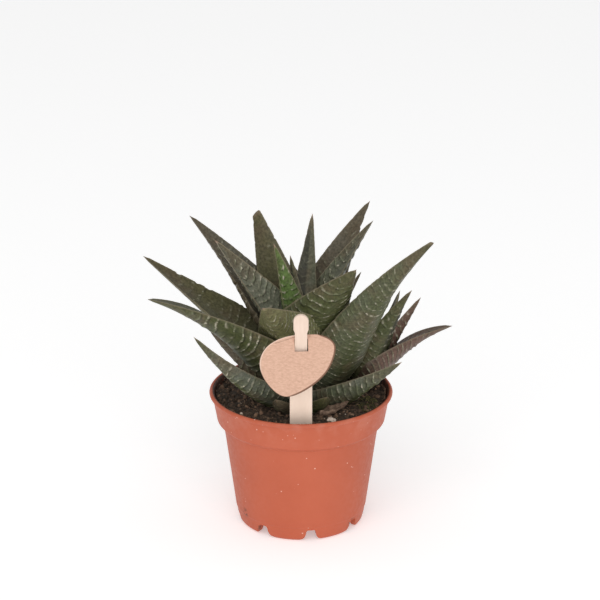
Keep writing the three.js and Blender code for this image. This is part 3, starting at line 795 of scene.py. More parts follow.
class LeafForm:
    """One leaf's surface, as heights over a spine that is worked out once.

    Places on it are t, a share of its length, s, the same in millimetres, across, from -1 to 1
    between its margins, and through, above 0 on its face and below 0 on its keel. Each noise
    adds its own number to the leaf's seed, so that no two are alike.
    """

    def __init__(self, leaf, place, look, settings, seed):
        self.leaf = leaf
        self.look = look
        self.settings = settings
        self.seed = seed
        self.pointed = leaf.end == 1
        self.torn = leaf.end < TORN_BELOW
        self.steps = max(8, int(leaf.length / 2))
        self.spine = []
        for i in range(self.steps + 1):
            t = i / self.steps
            axes = leaf_axes(leaf, t)
            self.spine.append((leaf_spine(leaf, place, t), axes[1], axes[2]))

    def frame_at(self, t):
        place = min(max(t, 0.0), 1.0) * self.steps
        low = min(int(place), self.steps - 1)
        share = place - low
        return [a.lerp(b, share) for a, b in zip(self.spine[low], self.spine[low + 1])]

    def half_width(self, t):
        taper = min(1.0, max(0.0, (t - WIDEST_AT) / (1 - WIDEST_AT)))
        base = lerp(BASE_WIDTH, 1.0, smooth(0.0, WIDEST_AT, t))
        return 0.5 * (self.leaf.width * base * (1 - taper**TAPER) + TIP_WIDTH), taper

    def end_at(self, across):
        """Where the leaf ends at this place across it: a torn tip is slanted and rough."""
        if not self.torn:
            return self.leaf.end
        slope = 0.5 + 0.5 * across
        rough = TORN_ROUGHNESS * wobble(across * 2.2, self.seed, 4.0)
        return self.leaf.end - (TORN_SLOPE * slope + rough) / self.leaf.length

    def margin_cut(self, s, t, across):
        """How far nibbling and carving set a margin back, in millimetres."""
        look, side = self.look, 9.0 if across > 0 else -9.0
        bite = look.bite_left if across > 0 else look.bite_right
        nibble = smooth(0.05, 0.55, wobble(s / NIBBLE_LENGTH, side, self.seed + 31))
        teeth = 0.5 + 0.5 * wobble(s / TOOTH_LENGTH, side, self.seed + 33)
        cut = (bite * nibble + TOOTH_DEPTH * teeth) * between(NIBBLED, t)
        if self.leaf.name == CARVED_LEAF and across > 0:
            cut += CARVED_DEPTH * smooth(CARVED_FROM, CARVED_FROM + 0.03, t) * (1 - smooth(*CARVED_TO, t))
        return cut

    def section(self, t, taper, through, across):
        """Height of the plain section over the line between its margins."""
        if through > 0:
            return -CHANNEL_DEPTH * self.leaf.width * (1 - taper) * through * through
        keel = KEEL_DEPTH * self.leaf.width * (1 - taper**TIP_ROUNDING) + TIP_THICKNESS
        shape = lerp(KEEL_SHAPE_AT_FOOT, KEEL_SHAPE_AT_TIP, taper)
        outer = 1 - abs(across) ** KEEL_OUTER_SHAPE
        return -keel * lerp(abs(through) ** shape, outer, KEEL_OUTER_SHARE * smooth(*KEEL_OUTER_SPAN, t))

    def phase(self, s, t, half, across, sign):
        """Counts the ridges from the leaf's foot, one to each whole step."""
        wander = WANDER * wobble(s / WANDER_LENGTH, across * 1.5 + sign, self.seed)
        wander += FINE_WANDER * wobble(s / FINE_WANDER_LENGTH, across * 4 + 5 * sign, self.seed + 3)
        pitch = self.look.pitch * (PITCH_AT_FOOT + PITCH_GAIN * t)
        bowed = half * (self.look.bow * across * across + self.look.slant * across)
        return (s - bowed) / pitch + wander

    def ridge(self, s, t, half, across, sign):
        """How strong the ridges are, before they fade at the margins and the tip."""
        patch = wobble(s / WEAK_PATCH_LENGTH, across * 2.2 + 2 * sign, self.seed + 7)
        vigour = smooth(-0.45, 0.2, patch + 0.35 - 0.5 * t)
        gap = wobble(s / BREAK_LENGTH, across * half / BREAK_WIDTH + 3 * sign, self.seed + 40)
        return self.look.ridges * vigour * lerp(WEAKEST_RIDGE, 1.0, smooth(-0.25, 0.25, gap))

    def blunting(self, remaining):
        """How much of its section the leaf keeps this close to its end."""
        share = remaining / (POINTED_LENGTH if self.pointed else BLUNT_LENGTH)
        if share >= 1:
            return 1.0
        if self.pointed:
            return max(0.0, share) ** 0.65
        rounded = math.sqrt(max(0.0, 1 - (1 - share) ** 2))
        return lerp(0.75, 1.0, rounded) if self.torn else rounded

    def point(self, vert, layers, around, along):
        """Fills a vertex's layers for the leaf's finish and returns its point in metres."""
        look = self.look
        turn = 2 * math.pi * around
        across = -math.sin(turn)
        through = math.cos(turn)
        sign = 1.0 if through > 0 else -1.0
        end = self.end_at(across)
        t = end * along
        s = t * self.leaf.length
        remaining = (end - t) * self.leaf.length
        half, taper = self.half_width(t)
        point, side, face = self.frame_at(t)
        height = self.section(t, taper, through, across)
        from_margin = math.hypot((1 - abs(across)) * half, height)
        phase = self.phase(s, t, half, across, sign)
        offset = phase - math.floor(phase) - CREST_PHASE
        wave = 0.5 + 0.5 * math.cos(2 * math.pi * offset)
        line = math.exp(-((offset / RIDGE_LINE) ** 2))
        inner = smooth(0.1, 0.8, from_margin)
        fade = 1 - smooth(*RIDGES_FADE, t)
        ridge = self.ridge(s, t, half, across, sign) * inner * fade
        bead = wobble(across * half / PEARL_WIDTH, math.floor(phase) * 2.7, self.seed + 20)
        pearl = look.pearls * line * smooth(0.26, 0.42, bead) * inner * between(PEARLED, t)
        lift = self.settings.ridge_height / MM * ridge * (RIDGE_WAVE_SHARE * wave + RIDGE_LINE_SHARE * line)
        lift += self.settings.pearl_height / MM * min(1.0, pearl)
        middle = 0.5 * self.section(t, taper, -1.0, 0.0)
        blunt = self.blunting(remaining)
        height = middle + (height + sign * lift - middle) * blunt
        out = across * half
        out -= math.copysign(self.margin_cut(s, t, across) * across**4, across)
        out += math.copysign(MARGIN_RIPPLE * wave * look.ridges * across**6, across) * fade
        late = smooth(0.75, 1.0, t)
        # Painted sheen on one half and, weaker, on the upper face; painted shade on the dark half
        sheen = abs(look.sheen) * smooth(-0.15, 0.25, across * look.sheen) if look.sheen else 0.0
        sheen = max(sheen, FACE_SHEEN * smooth(-0.05, 0.15, through))
        margin = min(1.0, look.edge * math.exp(-((from_margin / MARGIN_LINE) ** 2)))
        marks = {
            "phase": phase,
            "ridge": min(1.0, ridge),
            "dash": min(1.0, 1.4 * look.dashes) * fade,
            "pearl": min(1.0, pearl),
            "margin": margin * smooth(0.1, 0.3, t),
            "along": along,
            "sheen": sheen * (1 - 0.6 * late),
            "shade": smooth(-0.1, 0.1, across * look.shaded) * (1 - late) if look.shaded else 0.0,
            "tip": look.tip * (1 - smooth(*DRY_TIP, remaining)),
        }
        for name, layer in layers.items():
            vert[layer] = marks[name]
        return (point + side * (out * blunt) + face * height) * MM


def make_leaf(leaf, place, settings, material, seed, crumple=0.0):
    shape = new_shape()
    names = ("phase", "ridge", "dash", "pearl", "margin", "along", "sheen", "shade", "tip")
    layers = {name: shape.verts.layers.float.new(name) for name in names}
    form = LeafForm(leaf, place, LOOKS[leaf.name], settings, seed)
    rows = round(leaf.length * leaf.end / LEAF_STEP)

    def put(vert, around, along):
        point = form.point(vert, layers, around, along)
        if crumple:
            spot = point / MM
            folds = wobble(spot.x / CRUMPLE_LENGTH, spot.y / CRUMPLE_LENGTH, seed)
            point += Vector((0, 0, crumple * folds))
        return point

    rolled_grid(shape, LEAF_TURNS, rows, put)
    close_ends(shape)
    return add_piece(leaf.name + "_fine", shape, material, leaf.name, sharp=LEAF_CREASE)


# Pot


def wall_outline():
    return [
        (FOOT_RADIUS, 0),
        (lerp(FOOT_RADIUS, CORNER_RADIUS, 0.7), 0.35 * CORNER_HEIGHT),
        (CORNER_RADIUS, CORNER_HEIGHT),
        (BODY_FOOT_RADIUS - MOULD_STEP, BODY_FOOT - 2 * MOULD_STEP),
        (BODY_FOOT_RADIUS, BODY_FOOT),
        (BODY_TOP_RADIUS, BAND_FOOT - SHOULDER_DROP),
        (BAND_FOOT_RADIUS, BAND_FOOT),
        (BAND_TOP_RADIUS, POT_HEIGHT - LIP_DEPTH),
    ]


def outer_radius(z):
    outline = wall_outline()
    for (low_radius, low), (high_radius, high) in zip(outline, outline[1:]):
        if low <= z <= high:
            return lerp(low_radius, high_radius, (z - low) / (high - low))
    raise ValueError("height is outside the pot's wall")


def inner_wall(clearance):
    ceiling = CHANNEL_HEIGHT + WALL
    return [
        (outer_radius(ceiling) - WALL - clearance, ceiling + clearance),
        (BODY_TOP_RADIUS - WALL - clearance, BAND_FOOT - SHOULDER_DROP + WALL / 3),
        (BAND_FOOT_RADIUS - WALL - clearance, BAND_FOOT + WALL / 3),
        (BAND_TOP_RADIUS - WALL - clearance, POT_HEIGHT - LIP_DEPTH),
    ]


def inner_floor(clearance):
    return [
        (0, WALL + clearance),
        (PAD_RADIUS - WALL - clearance, WALL + clearance),
        (CHANNEL_RADIUS - WALL - clearance, CHANNEL_HEIGHT + WALL + clearance),
    ]


def eased(profile, radius, steps=4):
    """Rounds a profile's corners."""
    points = [Vector(profile[0])]
    for before, corner, after in zip(profile, profile[1:], profile[2:]):
        before, corner, after = Vector(before), Vector(corner), Vector(after)
        reach = min(radius, 0.4 * (before - corner).length, 0.4 * (after - corner).length)
        start = corner + (before - corner).normalized() * reach
        finish = corner + (after - corner).normalized() * reach
        points += [bent(start, corner, finish, i / steps) for i in range(steps + 1)]
    points.append(Vector(profile[-1]))
    return points


def pot_profile():
    overhang = LIP_RADIUS - BAND_TOP_RADIUS
    lip = [
        (LIP_RADIUS - 0.15 * overhang, POT_HEIGHT - 0.8 * LIP_DEPTH),
        (LIP_RADIUS, POT_HEIGHT - 0.45 * LIP_DEPTH),
        (LIP_RADIUS - 0.35 * overhang, POT_HEIGHT - 0.1 * LIP_DEPTH),
        (LIP_RADIUS - 0.75 * overhang, POT_HEIGHT),
        (LIP_RADIUS - 1.5 * overhang, POT_HEIGHT - 0.3 * LIP_DEPTH),
    ]
    underside = [
        (0, 0),
        (PAD_RADIUS, 0),
        (CHANNEL_RADIUS, CHANNEL_HEIGHT),
        (FOOT_RADIUS - 0.7 * WALL, CHANNEL_HEIGHT),
        (FOOT_RADIUS - WALL, 0),
    ]
    inside = inner_floor(0) + inner_wall(0)
    return underside + wall_outline() + lip + inside[::-1]


def lathed(shape, profile, turns):
    rows = len(profile) - 1

    def put(vert, around, along):
        radius, z = profile[round(along * rows)]
        return Vector((*on_circle(radius, 2 * math.pi * around), z)) * MM

    rolled_grid(shape, turns, rows, put)
    close_ends(shape)


def curve(start, bend, end):
    """Points along a quadratic curve, without its start."""
    start, bend, end = Vector(start), Vector(bend), Vector(end)
    return [bent(start, bend, end, i / ARCH_CURVE_STEPS) for i in range(1, ARCH_CURVE_STEPS + 1)]


def arch_outline():
    """The right half of an arch's outline and its mirror image."""
    foot = ARCH_FOOT_WIDTH / 2
    top = ARCH_TOP_WIDTH / 2
    shoulder = (top, 0.6 * ARCH_HEIGHT)
    half = [Vector((foot, -WALL)), Vector((foot, 0))]
    half += curve((foot, 0), (1.3 * top, 0.1 * ARCH_HEIGHT), shoulder)
    half += curve(shoulder, (top, ARCH_HEIGHT), (0.5 * top, ARCH_HEIGHT))
    return half + [Vector((-point.x, point.y)) for point in reversed(half)]


def arch_cutter(azimuth):
    """A bar of an arch's outline that reaches through the foot ring."""
    shape = bmesh.new()
    outline = arch_outline()
    ring = bmesh.ops.create_circle(shape, cap_ends=True, segments=len(outline), radius=1)["verts"]
    for vert, point in zip(ring, outline):
        vert.co = point.to_3d()
    raise_faces(shape, CORNER_RADIUS - CHANNEL_RADIUS)
    start = lerp(CHANNEL_RADIUS, FOOT_RADIUS, 0.5)
    place = Matrix.Rotation(math.radians(azimuth + 90), 4, "Z") @ Matrix.Translation((0, -start, 0))
    settle(shape, place @ Matrix.Rotation(math.pi / 2, 4, "X"))
    bmesh.ops.recalc_face_normals(shape, faces=shape.faces)
    return add_object("arch", to_mesh("arch", shape))


def cut_away(piece, cutters):
    """Cuts the cutters out of a piece and removes them."""
    for cutter in cutters:
        modifier = piece.modifiers.new("cut", "BOOLEAN")
        modifier.operation = "DIFFERENCE"
        modifier.solver = "EXACT"
        modifier.object = cutter
    graph = bpy.context.evaluated_depsgraph_get()
    cut = bpy.data.meshes.new_from_object(piece.evaluated_get(graph))
    piece.modifiers.clear()
    piece.data = cut
    for cutter in cutters:
        bpy.data.objects.remove(cutter)


# Soil


def soil_dip(x, y):
    """Height of the hollows in the soil's mound, at or below 0, as its solid has them."""
    coarse = math.sin(0.31 * x + 1.3) * math.sin(0.27 * y + 0.4)
    fine = math.sin(0.83 * x + 0.57 * y) * math.sin(0.71 * y - 0.49 * x + 2)
    return CRUMB_DEPTH * (0.5 * coarse + 0.5 * fine - 1)


def soil_height(x, y):
    share = math.hypot(x, y) / BAND_TOP_RADIUS
    lumps = BROAD_LUMP_HEIGHT * wobble(x / BROAD_LUMPS, y / BROAD_LUMPS, 1.0)
    lumps += SMALL_LUMP_HEIGHT * wobble(x / SMALL_LUMPS, y / SMALL_LUMPS, 5.0)
    bank = SOIL_BANK * smooth(*SOIL_BANK_SPAN, share)
    return SOIL_LEVEL + SOIL_MOUND * (1 - share * share) + soil_dip(x, y) + lumps + bank


def soil_edge():
    low, high = inner_wall(SOIL_GAP)[2:]
    return lerp(low[0], high[0], (SOIL_LEVEL - low[1]) / (high[1] - low[1]))


def ground_shape():
    shape = new_shape()
    edge = soil_edge()
    outside = inner_floor(SOIL_GAP) + inner_wall(SOIL_GAP)[:3]
    rows = len(outside) - 1 + SOIL_RINGS

    def put(vert, around, along):
        row = round(along * rows)
        turn = 2 * math.pi * around
        if row < len(outside):
            radius, z = outside[row]
            return Vector((*on_circle(radius, turn), z)) * MM
        x, y = on_circle(edge * (1 - (row - len(outside)) / (SOIL_RINGS - 1)), turn)
        return Vector((x, y, soil_height(x, y))) * MM

    rolled_grid(shape, SOIL_TURNS, rows, put)
    close_ends(shape)
    return shape


def drawn(draw, spread):
    """A random value of a spread."""
    return spread.least + spread.gain * draw.random() ** spread.rarity


def scattered(draw, low, high):
    """A random place on the soil between two distances from the pot's axis."""
    radius = math.sqrt(lerp(low * low, high * high, draw.random()))
    return on_circle(radius, 2 * math.pi * draw.random())


class Litter:
    """Small lumps and fibres strewn on the soil, which join into one piece."""

    def __init__(self, draw):
        self.draw = draw
        self.shape = new_shape()
        self.tone_layer = self.shape.verts.layers.float.new("tone")

    def lump(self, place, radius, tone, detail=1, flat=0.7, lift=0.0):
        """Adds one angular lump, partly sunk in the soil unless it is lifted."""
        draw = self.draw
        made = bmesh.ops.create_icosphere(self.shape, subdivisions=detail, radius=1.0)
        turn = Matrix.Rotation(draw.random() * math.pi, 3, "Z")
        turn = turn @ Matrix.Rotation(draw.random() * math.pi, 3, "X")
        length = lerp(*LUMP_LENGTHS, draw.random())
        stretch = Vector((length, lerp(*LUMP_WIDTHS, draw.random()), flat))
        x, y = place
        middle = Vector((x, y, soil_height(x, y) + LUMP_RISE * radius + lift))
        for vert in made["verts"]:
            rough = 1 + LUMP_ROUGHNESS * wobble(vert.co.x * 2 + x, vert.co.y * 2 + y, vert.co.z * 2)
            local = turn @ Vector([a * b * rough for a, b in zip(vert.co, stretch)])
            vert.co = (middle + local * radius) * MM
            vert[self.tone_layer] = tone

    def strand(self, place, length, radius, tone, lift):
        """Adds one thin bent fibre that lies on the soil."""
        heading = 2 * math.pi * self.draw.random()
        bend = lerp(-FIBRE_BEND, FIBRE_BEND, self.draw.random())
        x, y = place
        z = soil_height(x, y)

        def put(vert, around, along):
            turn = 2 * math.pi * around
            course = heading + bend * along
            px = x + length * along * math.cos(course)
            py = y + length * along * math.sin(course)
            pz = max(z, soil_height(px, py)) + 0.3 * radius + lift * math.sin(math.pi * along)
            inside = min(1 - FIBRE_END, max(FIBRE_END, along))
            thick = radius * math.sin(math.pi * inside) ** 0.5
            sideways = Vector((-math.sin(course), math.cos(course), 0)) * (thick * math.cos(turn))
            vert[self.tone_layer] = tone
            return (Vector((px, py, pz + thick * math.sin(turn))) + sideways) * MM

        rolled_grid(self.shape, FIBRE_TURNS, FIBRE_ROWS, put)

    def finish(self, name, material, sharp=None):
        close_ends(self.shape)
        add_piece(name, self.shape, material, sharp=sharp)


# Label


def pebble_point(share):
    """A point of the board's outline, on a smooth closed curve through its corners."""
    count = len(BOARD_OUTLINE)
    place = share * count
    i = int(place) % count
    u = place - int(place)
    a, b, c, d = [Vector(BOARD_OUTLINE[(i + k) % count]) for k in (-1, 0, 1, 2)]
    first = 2 * b + (c - a) * u
    return 0.5 * (first + (2 * a - 5 * b + 4 * c - d) * u**2 + (3 * b - a - 3 * c + d) * u**3)


def slot_point(share):
    """A point of the slot's outline that lies the same way round as the board's."""
    x, y = on_circle(1, -2 * math.pi * share + math.radians(SLOT_START))
    reach = min(SLOT_WIDTH / 2 / max(abs(x), 1e-6), SLOT_HEIGHT / 2 / max(abs(y), 1e-6))
    return Vector((x * reach + SLOT_SHIFT, y * reach))


def stick_middle(z):
    """Where a height lies on the stick's middle plane."""
    depth = STICK_FRONT - (z - SOIL_LEVEL) * math.tan(math.radians(STICK_LEAN))
    return Vector((0, depth + STICK_THICKNESS / 2, z))


def mark_rim(shape, rim):
    """Marks the board's rim: 1 scorched, at the lower right, and -1 painted highlight, at the left."""
    outline = [pebble_point(i / BOARD_STEPS) for i in range(BOARD_STEPS)]
    for vert in shape.verts:
        spot = vert.co.xy
        from_outline = min((spot - point).length for point in outline)
        near = 1 - smooth(0.4 * RIM_WIDTH, RIM_WIDTH, from_outline)
        lower_right = spot.normalized().dot(Vector(SCORCHED_WAY))
        vert[rim] = near * (smooth(*SCORCHED_SPAN, lower_right) - smooth(*PAINTED_HIGHLIGHT_SPAN, -lower_right))


def in_plane(face):
    """Whether a face of the board, before it is placed, lies in the board's plane."""
    return abs(face.normal.z) > 0.5


def board_shape():
    shape = new_shape()
    rim = shape.verts.layers.float.new("rim")
    outer = bmesh.ops.create_circle(shape, segments=BOARD_STEPS, radius=1)["verts"]
    inner = bmesh.ops.create_circle(shape, segments=BOARD_STEPS, radius=1)["verts"]
    for ring, outline in ((outer, pebble_point), (inner, slot_point)):
        for i, vert in enumerate(ring):
            vert.co = outline(i / BOARD_STEPS).to_3d()
    bmesh.ops.bridge_loops(shape, edges=shape.edges[:])
    bmesh.ops.recalc_face_normals(shape, faces=shape.faces)
    front = raise_faces(shape, BOARD_THICKNESS)
    bmesh.ops.inset_region(shape, faces=front, thickness=RIM_WIDTH, use_even_offset=True)
    bmesh.ops.translate(shape, vec=(0, 0, -BOARD_THICKNESS / 2), verts=shape.verts)
    bmesh.ops.recalc_face_normals(shape, faces=shape.faces)
    rims = [edge for edge in shape.edges if len({in_plane(face) for face in edge.link_faces}) == 2]
    ease_edges(shape, rims, BOARD_EASING, 2)
    for face in shape.faces:
        face.material_index = int(not in_plane(face))
    mark_rim(shape, rim)
    slot_height = STICK_TOP - BOARD_BELOW_TOP * math.cos(math.radians(STICK_LEAN))
    place = Matrix.Translation(stick_middle(slot_height))
    turn = Matrix.Rotation(math.radians(BOARD_YAW), 4, "Z")
    tilt = Matrix.Rotation(math.pi / 2 - math.radians(BOARD_TILT), 4, "X")
    settle(shape, place @ turn @ tilt)
    return shape


def stick_shape():
    """A copy of the stick's solid with merged corners and eased edges."""
    shape = bmesh.new()
    shape.from_mesh(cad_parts["label_stick"].data)
    bmesh.ops.remove_doubles(shape, verts=shape.verts, dist=CAD_SEAM)
    flat = math.radians(FLAT_ANGLE)
    bmesh.ops.dissolve_limit(shape, angle_limit=flat, verts=shape.verts, edges=shape.edges)
    rims = [edge for edge in shape.edges if edge.calc_face_angle(0) > math.radians(EDGE_ANGLE)]
    ease_edges(shape, rims, STICK_EASING * MM, 3)
    return shape


# Settings


def colour_property(name, description, default):
    return FloatVectorProperty(
        name=name, description=description, subtype="COLOR", size=3, min=0, max=1, default=default
    )


def length_property(name, description, default):
    texts = {"name": name, "description": description}
    return FloatProperty(**texts, default=default, min=0, soft_max=0.01, unit="LENGTH", precision=5)


def strength_property(name, description, default, most=1, unit="NONE"):
    texts = {"name": name, "description": description}
    subtype = "FACTOR" if most == 1 else "NONE"
    return FloatProperty(**texts, default=default, min=0, max=most, unit=unit, subtype=subtype)


def count_property(name, description, default, most):
    return IntProperty(name=name, description=description, default=default, min=0, max=most)


class HaworthiaLeafSettings(bpy.types.PropertyGroup):
    """Sizes and colours of the leaves and stems."""

    ridge_height: length_property("Ridge height", "How far a cross ridge stands out", 0.00048)
    pearl_height: length_property("Pearl height", "How far a white pearl stands out", 0.0002)
    # Strength of the painted sheen, grey reflected light laid into the colour
    painted_sheen: strength_property("Bloom", "Strength of the grey sheen", 0.75)
    # Strength of the painted shade on a leaf's dark half
    shade: strength_property("Shade", "Strength of a dark half's shade", 0.72)
    green: colour_property("Green flesh", "Flesh of the green leaves", (0.064, 0.072, 0.027))
    grey: colour_property("Grey flesh", "Flesh of the grey green leaves", (0.1, 0.102, 0.064))
    brown: colour_property("Brown flesh", "Flesh of the bronzed leaves", (0.103, 0.084, 0.054))
    olive: colour_property("Olive flesh", "Flesh of the olive leaves", (0.095, 0.087, 0.036))
    silver: colour_property("Silver flesh", "Flesh of the silvery leaf", (0.165, 0.17, 0.12))
    yellow: colour_property("Yellow flesh", "Flesh of the yellow green leaf", (0.155, 0.155, 0.068))
    bright: colour_property("Bright flesh", "Flesh of the young leaf", (0.125, 0.2, 0.05))
    red: colour_property("Red flesh", "Flesh of the reddish side leaves", (0.12, 0.07, 0.052))
    # Painted shade at a leaf's foot, in the ridges' grooves and on a dark half
    painted_shade_colour: colour_property("Foot", "Shade towards a leaf's foot", (0.017, 0.016, 0.009))
    # Colour of the painted sheen
    painted_sheen_colour: colour_property("Bloom colour", "Waxy bloom", (0.108, 0.116, 0.098))
    bronze_colour: colour_property("Bronze", "Sun-bronzed patches", (0.105, 0.079, 0.047))
    crest_colour: colour_property("Crests", "Crest of a ridge", (0.22, 0.24, 0.14))
    pearl_colour: colour_property("Pearls", "White pearls on the ridges", (0.52, 0.47, 0.37))
    margin_colour: colour_property("Margins", "Thin light line along a margin", (0.23, 0.19, 0.125))
    tip_colour: colour_property("Dry tip", "Dry point of a leaf", (0.4, 0.27, 0.2))
    stem_colour: colour_property("Stem", "Stem under the leaf bases", (0.16, 0.18, 0.08))
    stem_foot_colour: colour_property("Stem foot", "Stem near the soil", (0.1, 0.07, 0.04))


class HaworthiaDeadLeafSettings(bpy.types.PropertyGroup):
    """Folds and colours of the shrivelled leaf."""

    crumple: length_property("Crumple", "Depth of the shrivelled folds", 0.0006)
    dark_colour: colour_property("Dark", "Darker parts", (0.12, 0.068, 0.045))
    pale_colour: colour_property("Pale", "Paler parts", (0.34, 0.23, 0.16))
    vein_colour: colour_property("Veins", "Veins across the leaf", (0.33, 0.24, 0.17))


class HaworthiaPotSettings(bpy.types.PropertyGroup):
    """Colours and gloss of the pot."""

    colour: colour_property("Plastic", "Colour of the pot", (0.505, 0.116, 0.057))
    deep_colour: colour_property("Deep plastic", "Slightly deeper patches", (0.475, 0.105, 0.05))
    dust_colour: colour_property("Dust", "Pale dust and specks", (0.85, 0.62, 0.52))
    # Also darkens the inner face of the wall
    stain_colour: colour_property("Stains", "Soil stains", (0.07, 0.034, 0.022))
    dust: strength_property("Dust specks", "How strong the specks are", 0.8)
    chalk: strength_property("Chalk", "How strong the chalky film near the lip is", 0.08)
    stains: strength_property("Stain strength", "How strong the stains at the foot are", 0.85)
    roughness: strength_property("Roughness", "Gloss of the plastic", 0.5)


class HaworthiaSoilSettings(bpy.types.PropertyGroup):
    """Colours and counts of the soil's crumbs."""

    crumbs: count_property("Crumbs", "Number of peat crumbs", 1500, most=4000)
    clinging: count_property("Wall crumbs", "Crumbs on the pot's wall", 420, most=2000)
    grains: count_property("Pale grains", "Number of pale mineral grains", 110, most=400)
    strands: count_property("Fibre count", "Number of root fibres", 190, most=600)
    tufts: count_property("Moss shoots", "Number of moss shoots", 260, most=1000)
    dark_colour: colour_property("Peat", "Dark peat", (0.03, 0.019, 0.011))
    pale_colour: colour_property("Dry peat", "Drier, browner peat", (0.25, 0.15, 0.095))
    speck_colour: colour_property("Specks", "Pale specks in the peat", (0.32, 0.24, 0.16))
    grain_colour: colour_property("Grains", "Pale mineral grains", (0.72, 0.6, 0.5))
    grain_shade_colour: colour_property("Dull grains", "Duller side of the grains", (0.32, 0.22, 0.16))
    fibre_colour: colour_property("Fibres", "Root fibres", (0.3, 0.2, 0.12))
    fibre_shade_colour: colour_property("Dark fibres", "Darkest root fibres", (0.06, 0.04, 0.025))
    moss_colour: colour_property("Moss", "Colour of the moss", (0.12, 0.105, 0.03))
    moss_shade_colour: colour_property("Dark moss", "Darkest moss", (0.03, 0.026, 0.013))


class HaworthiaLabelSettings(bpy.types.PropertyGroup):
    """Colours of the wooden label."""

    stick_colour: colour_property("Stick", "Pale wood", (0.81, 0.65, 0.54))
    stick_grain_colour: colour_property("Stick grain", "Darker grain lines", (0.74, 0.57, 0.46))
    # Painted light that brightens the stick near the soil
    stick_painted_light_colour: colour_property("Stick foot", "Paler wood near the soil", (0.98, 0.775, 0.63))
    board_colour: colour_property("Board", "Face of the board", (0.71, 0.45, 0.33))
    board_fibre_colour: colour_property("Board fibres", "Darker fibres", (0.57, 0.34, 0.24))
    cut_colour: colour_property("Cut edge", "Darkened cut edge", (0.17, 0.08, 0.045))
    # Painted highlight along the board's left rim
    rim_painted_highlight_colour: colour_property("Light rim", "Paler rim at the left", (0.86, 0.66, 0.54))


class HaworthiaStageSettings(bpy.types.PropertyGroup):
    """Floor and light."""

    floor_colour: colour_property("Floor", "Colour of the floor", (0.9, 0.9, 0.9))
    sky: strength_property("Sky", "Strength of the even light", 0.55, most=5)
    key: strength_property("Key light", "Power of the large front light", 8.2, 500, unit="POWER")
    fill: strength_property("Fill light", "Power of the low front light", 6, 500, unit="POWER")
    glow: strength_property("Glow", "Light of the floor itself", 0.35)


# Operators


class HAWORTHIA_OT_leaves(bpy.types.Operator):
    """Makes the fine leaves of both rosettes."""

    bl_idname = "haworthia.leaves"
    bl_label = "Leaves"

    def execute(self, context):
        settings = context.scene.haworthia_leaves
        finishes = {}
        for flesh in ("green", "grey", "silver", "brown", "olive", "yellow", "bright", "red"):
            finishes[flesh] = leaf_finish(flesh + "_leaf", getattr(settings, flesh), settings)
        seed = LEAF_SEED
        for leaves, place in ((MAIN_LEAVES, STEM_PLACE), (SIDE_LEAVES, SIDE_STEM_PLACE)):
            for leaf in leaves:
                finish = finishes[LOOKS[leaf.name].flesh]
                make_leaf(leaf, place, settings, finish, seed * LEAF_SEED_STEP)
                seed += 1
        return {"FINISHED"}


class HAWORTHIA_OT_stems(bpy.types.Operator):
    """Gives both stems their skin."""

    bl_idname = "haworthia.stems"
    bl_label = "Stems"

    def execute(self, context):
        finish = stem_finish(context.scene.haworthia_leaves)
        for name in ("stem", "side_stem"):
            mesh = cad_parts[name].data
            mesh.materials.clear()
            mesh.materials.append(finish)
        return {"FINISHED"}


class HAWORTHIA_OT_dead_leaf(bpy.types.Operator):
    """Makes the shrivelled leaf on the soil."""

    bl_idname = "haworthia.dead_leaf"
    bl_label = "Dead leaf"

    def execute(self, context):
        settings = context.scene.haworthia_dead_leaf
        finish = dry_leaf_finish(settings)
        form = context.scene.haworthia_leaves
        seed = DEAD_LEAF_SEED
        make_leaf(DEAD_LEAF, DEAD_LEAF_PLACE, form, finish, seed, settings.crumple)
        return {"FINISHED"}


class HAWORTHIA_OT_pot(bpy.types.Operator):
    """Makes the pot with its band, lip and arched foot."""

    bl_idname = "haworthia.pot"
    bl_label = "Pot"

    def execute(self, context):
        shape = new_shape()
        lathed(shape, eased(pot_profile(), POT_EASING), POT_TURNS)
        finish = pot_finish(context.scene.haworthia_pot)
        pot = add_piece("pot_fine", shape, finish, "pot")
        azimuths = [ARCH_FIRST_AZIMUTH + 360 / ARCH_COUNT * i for i in range(ARCH_COUNT)]
        cut_away(pot, [arch_cutter(azimuth) for azimuth in azimuths])
        pot.data.shade_smooth()
        pot.data.set_sharp_from_angle(angle=math.radians(POT_CREASE))
        return {"FINISHED"}


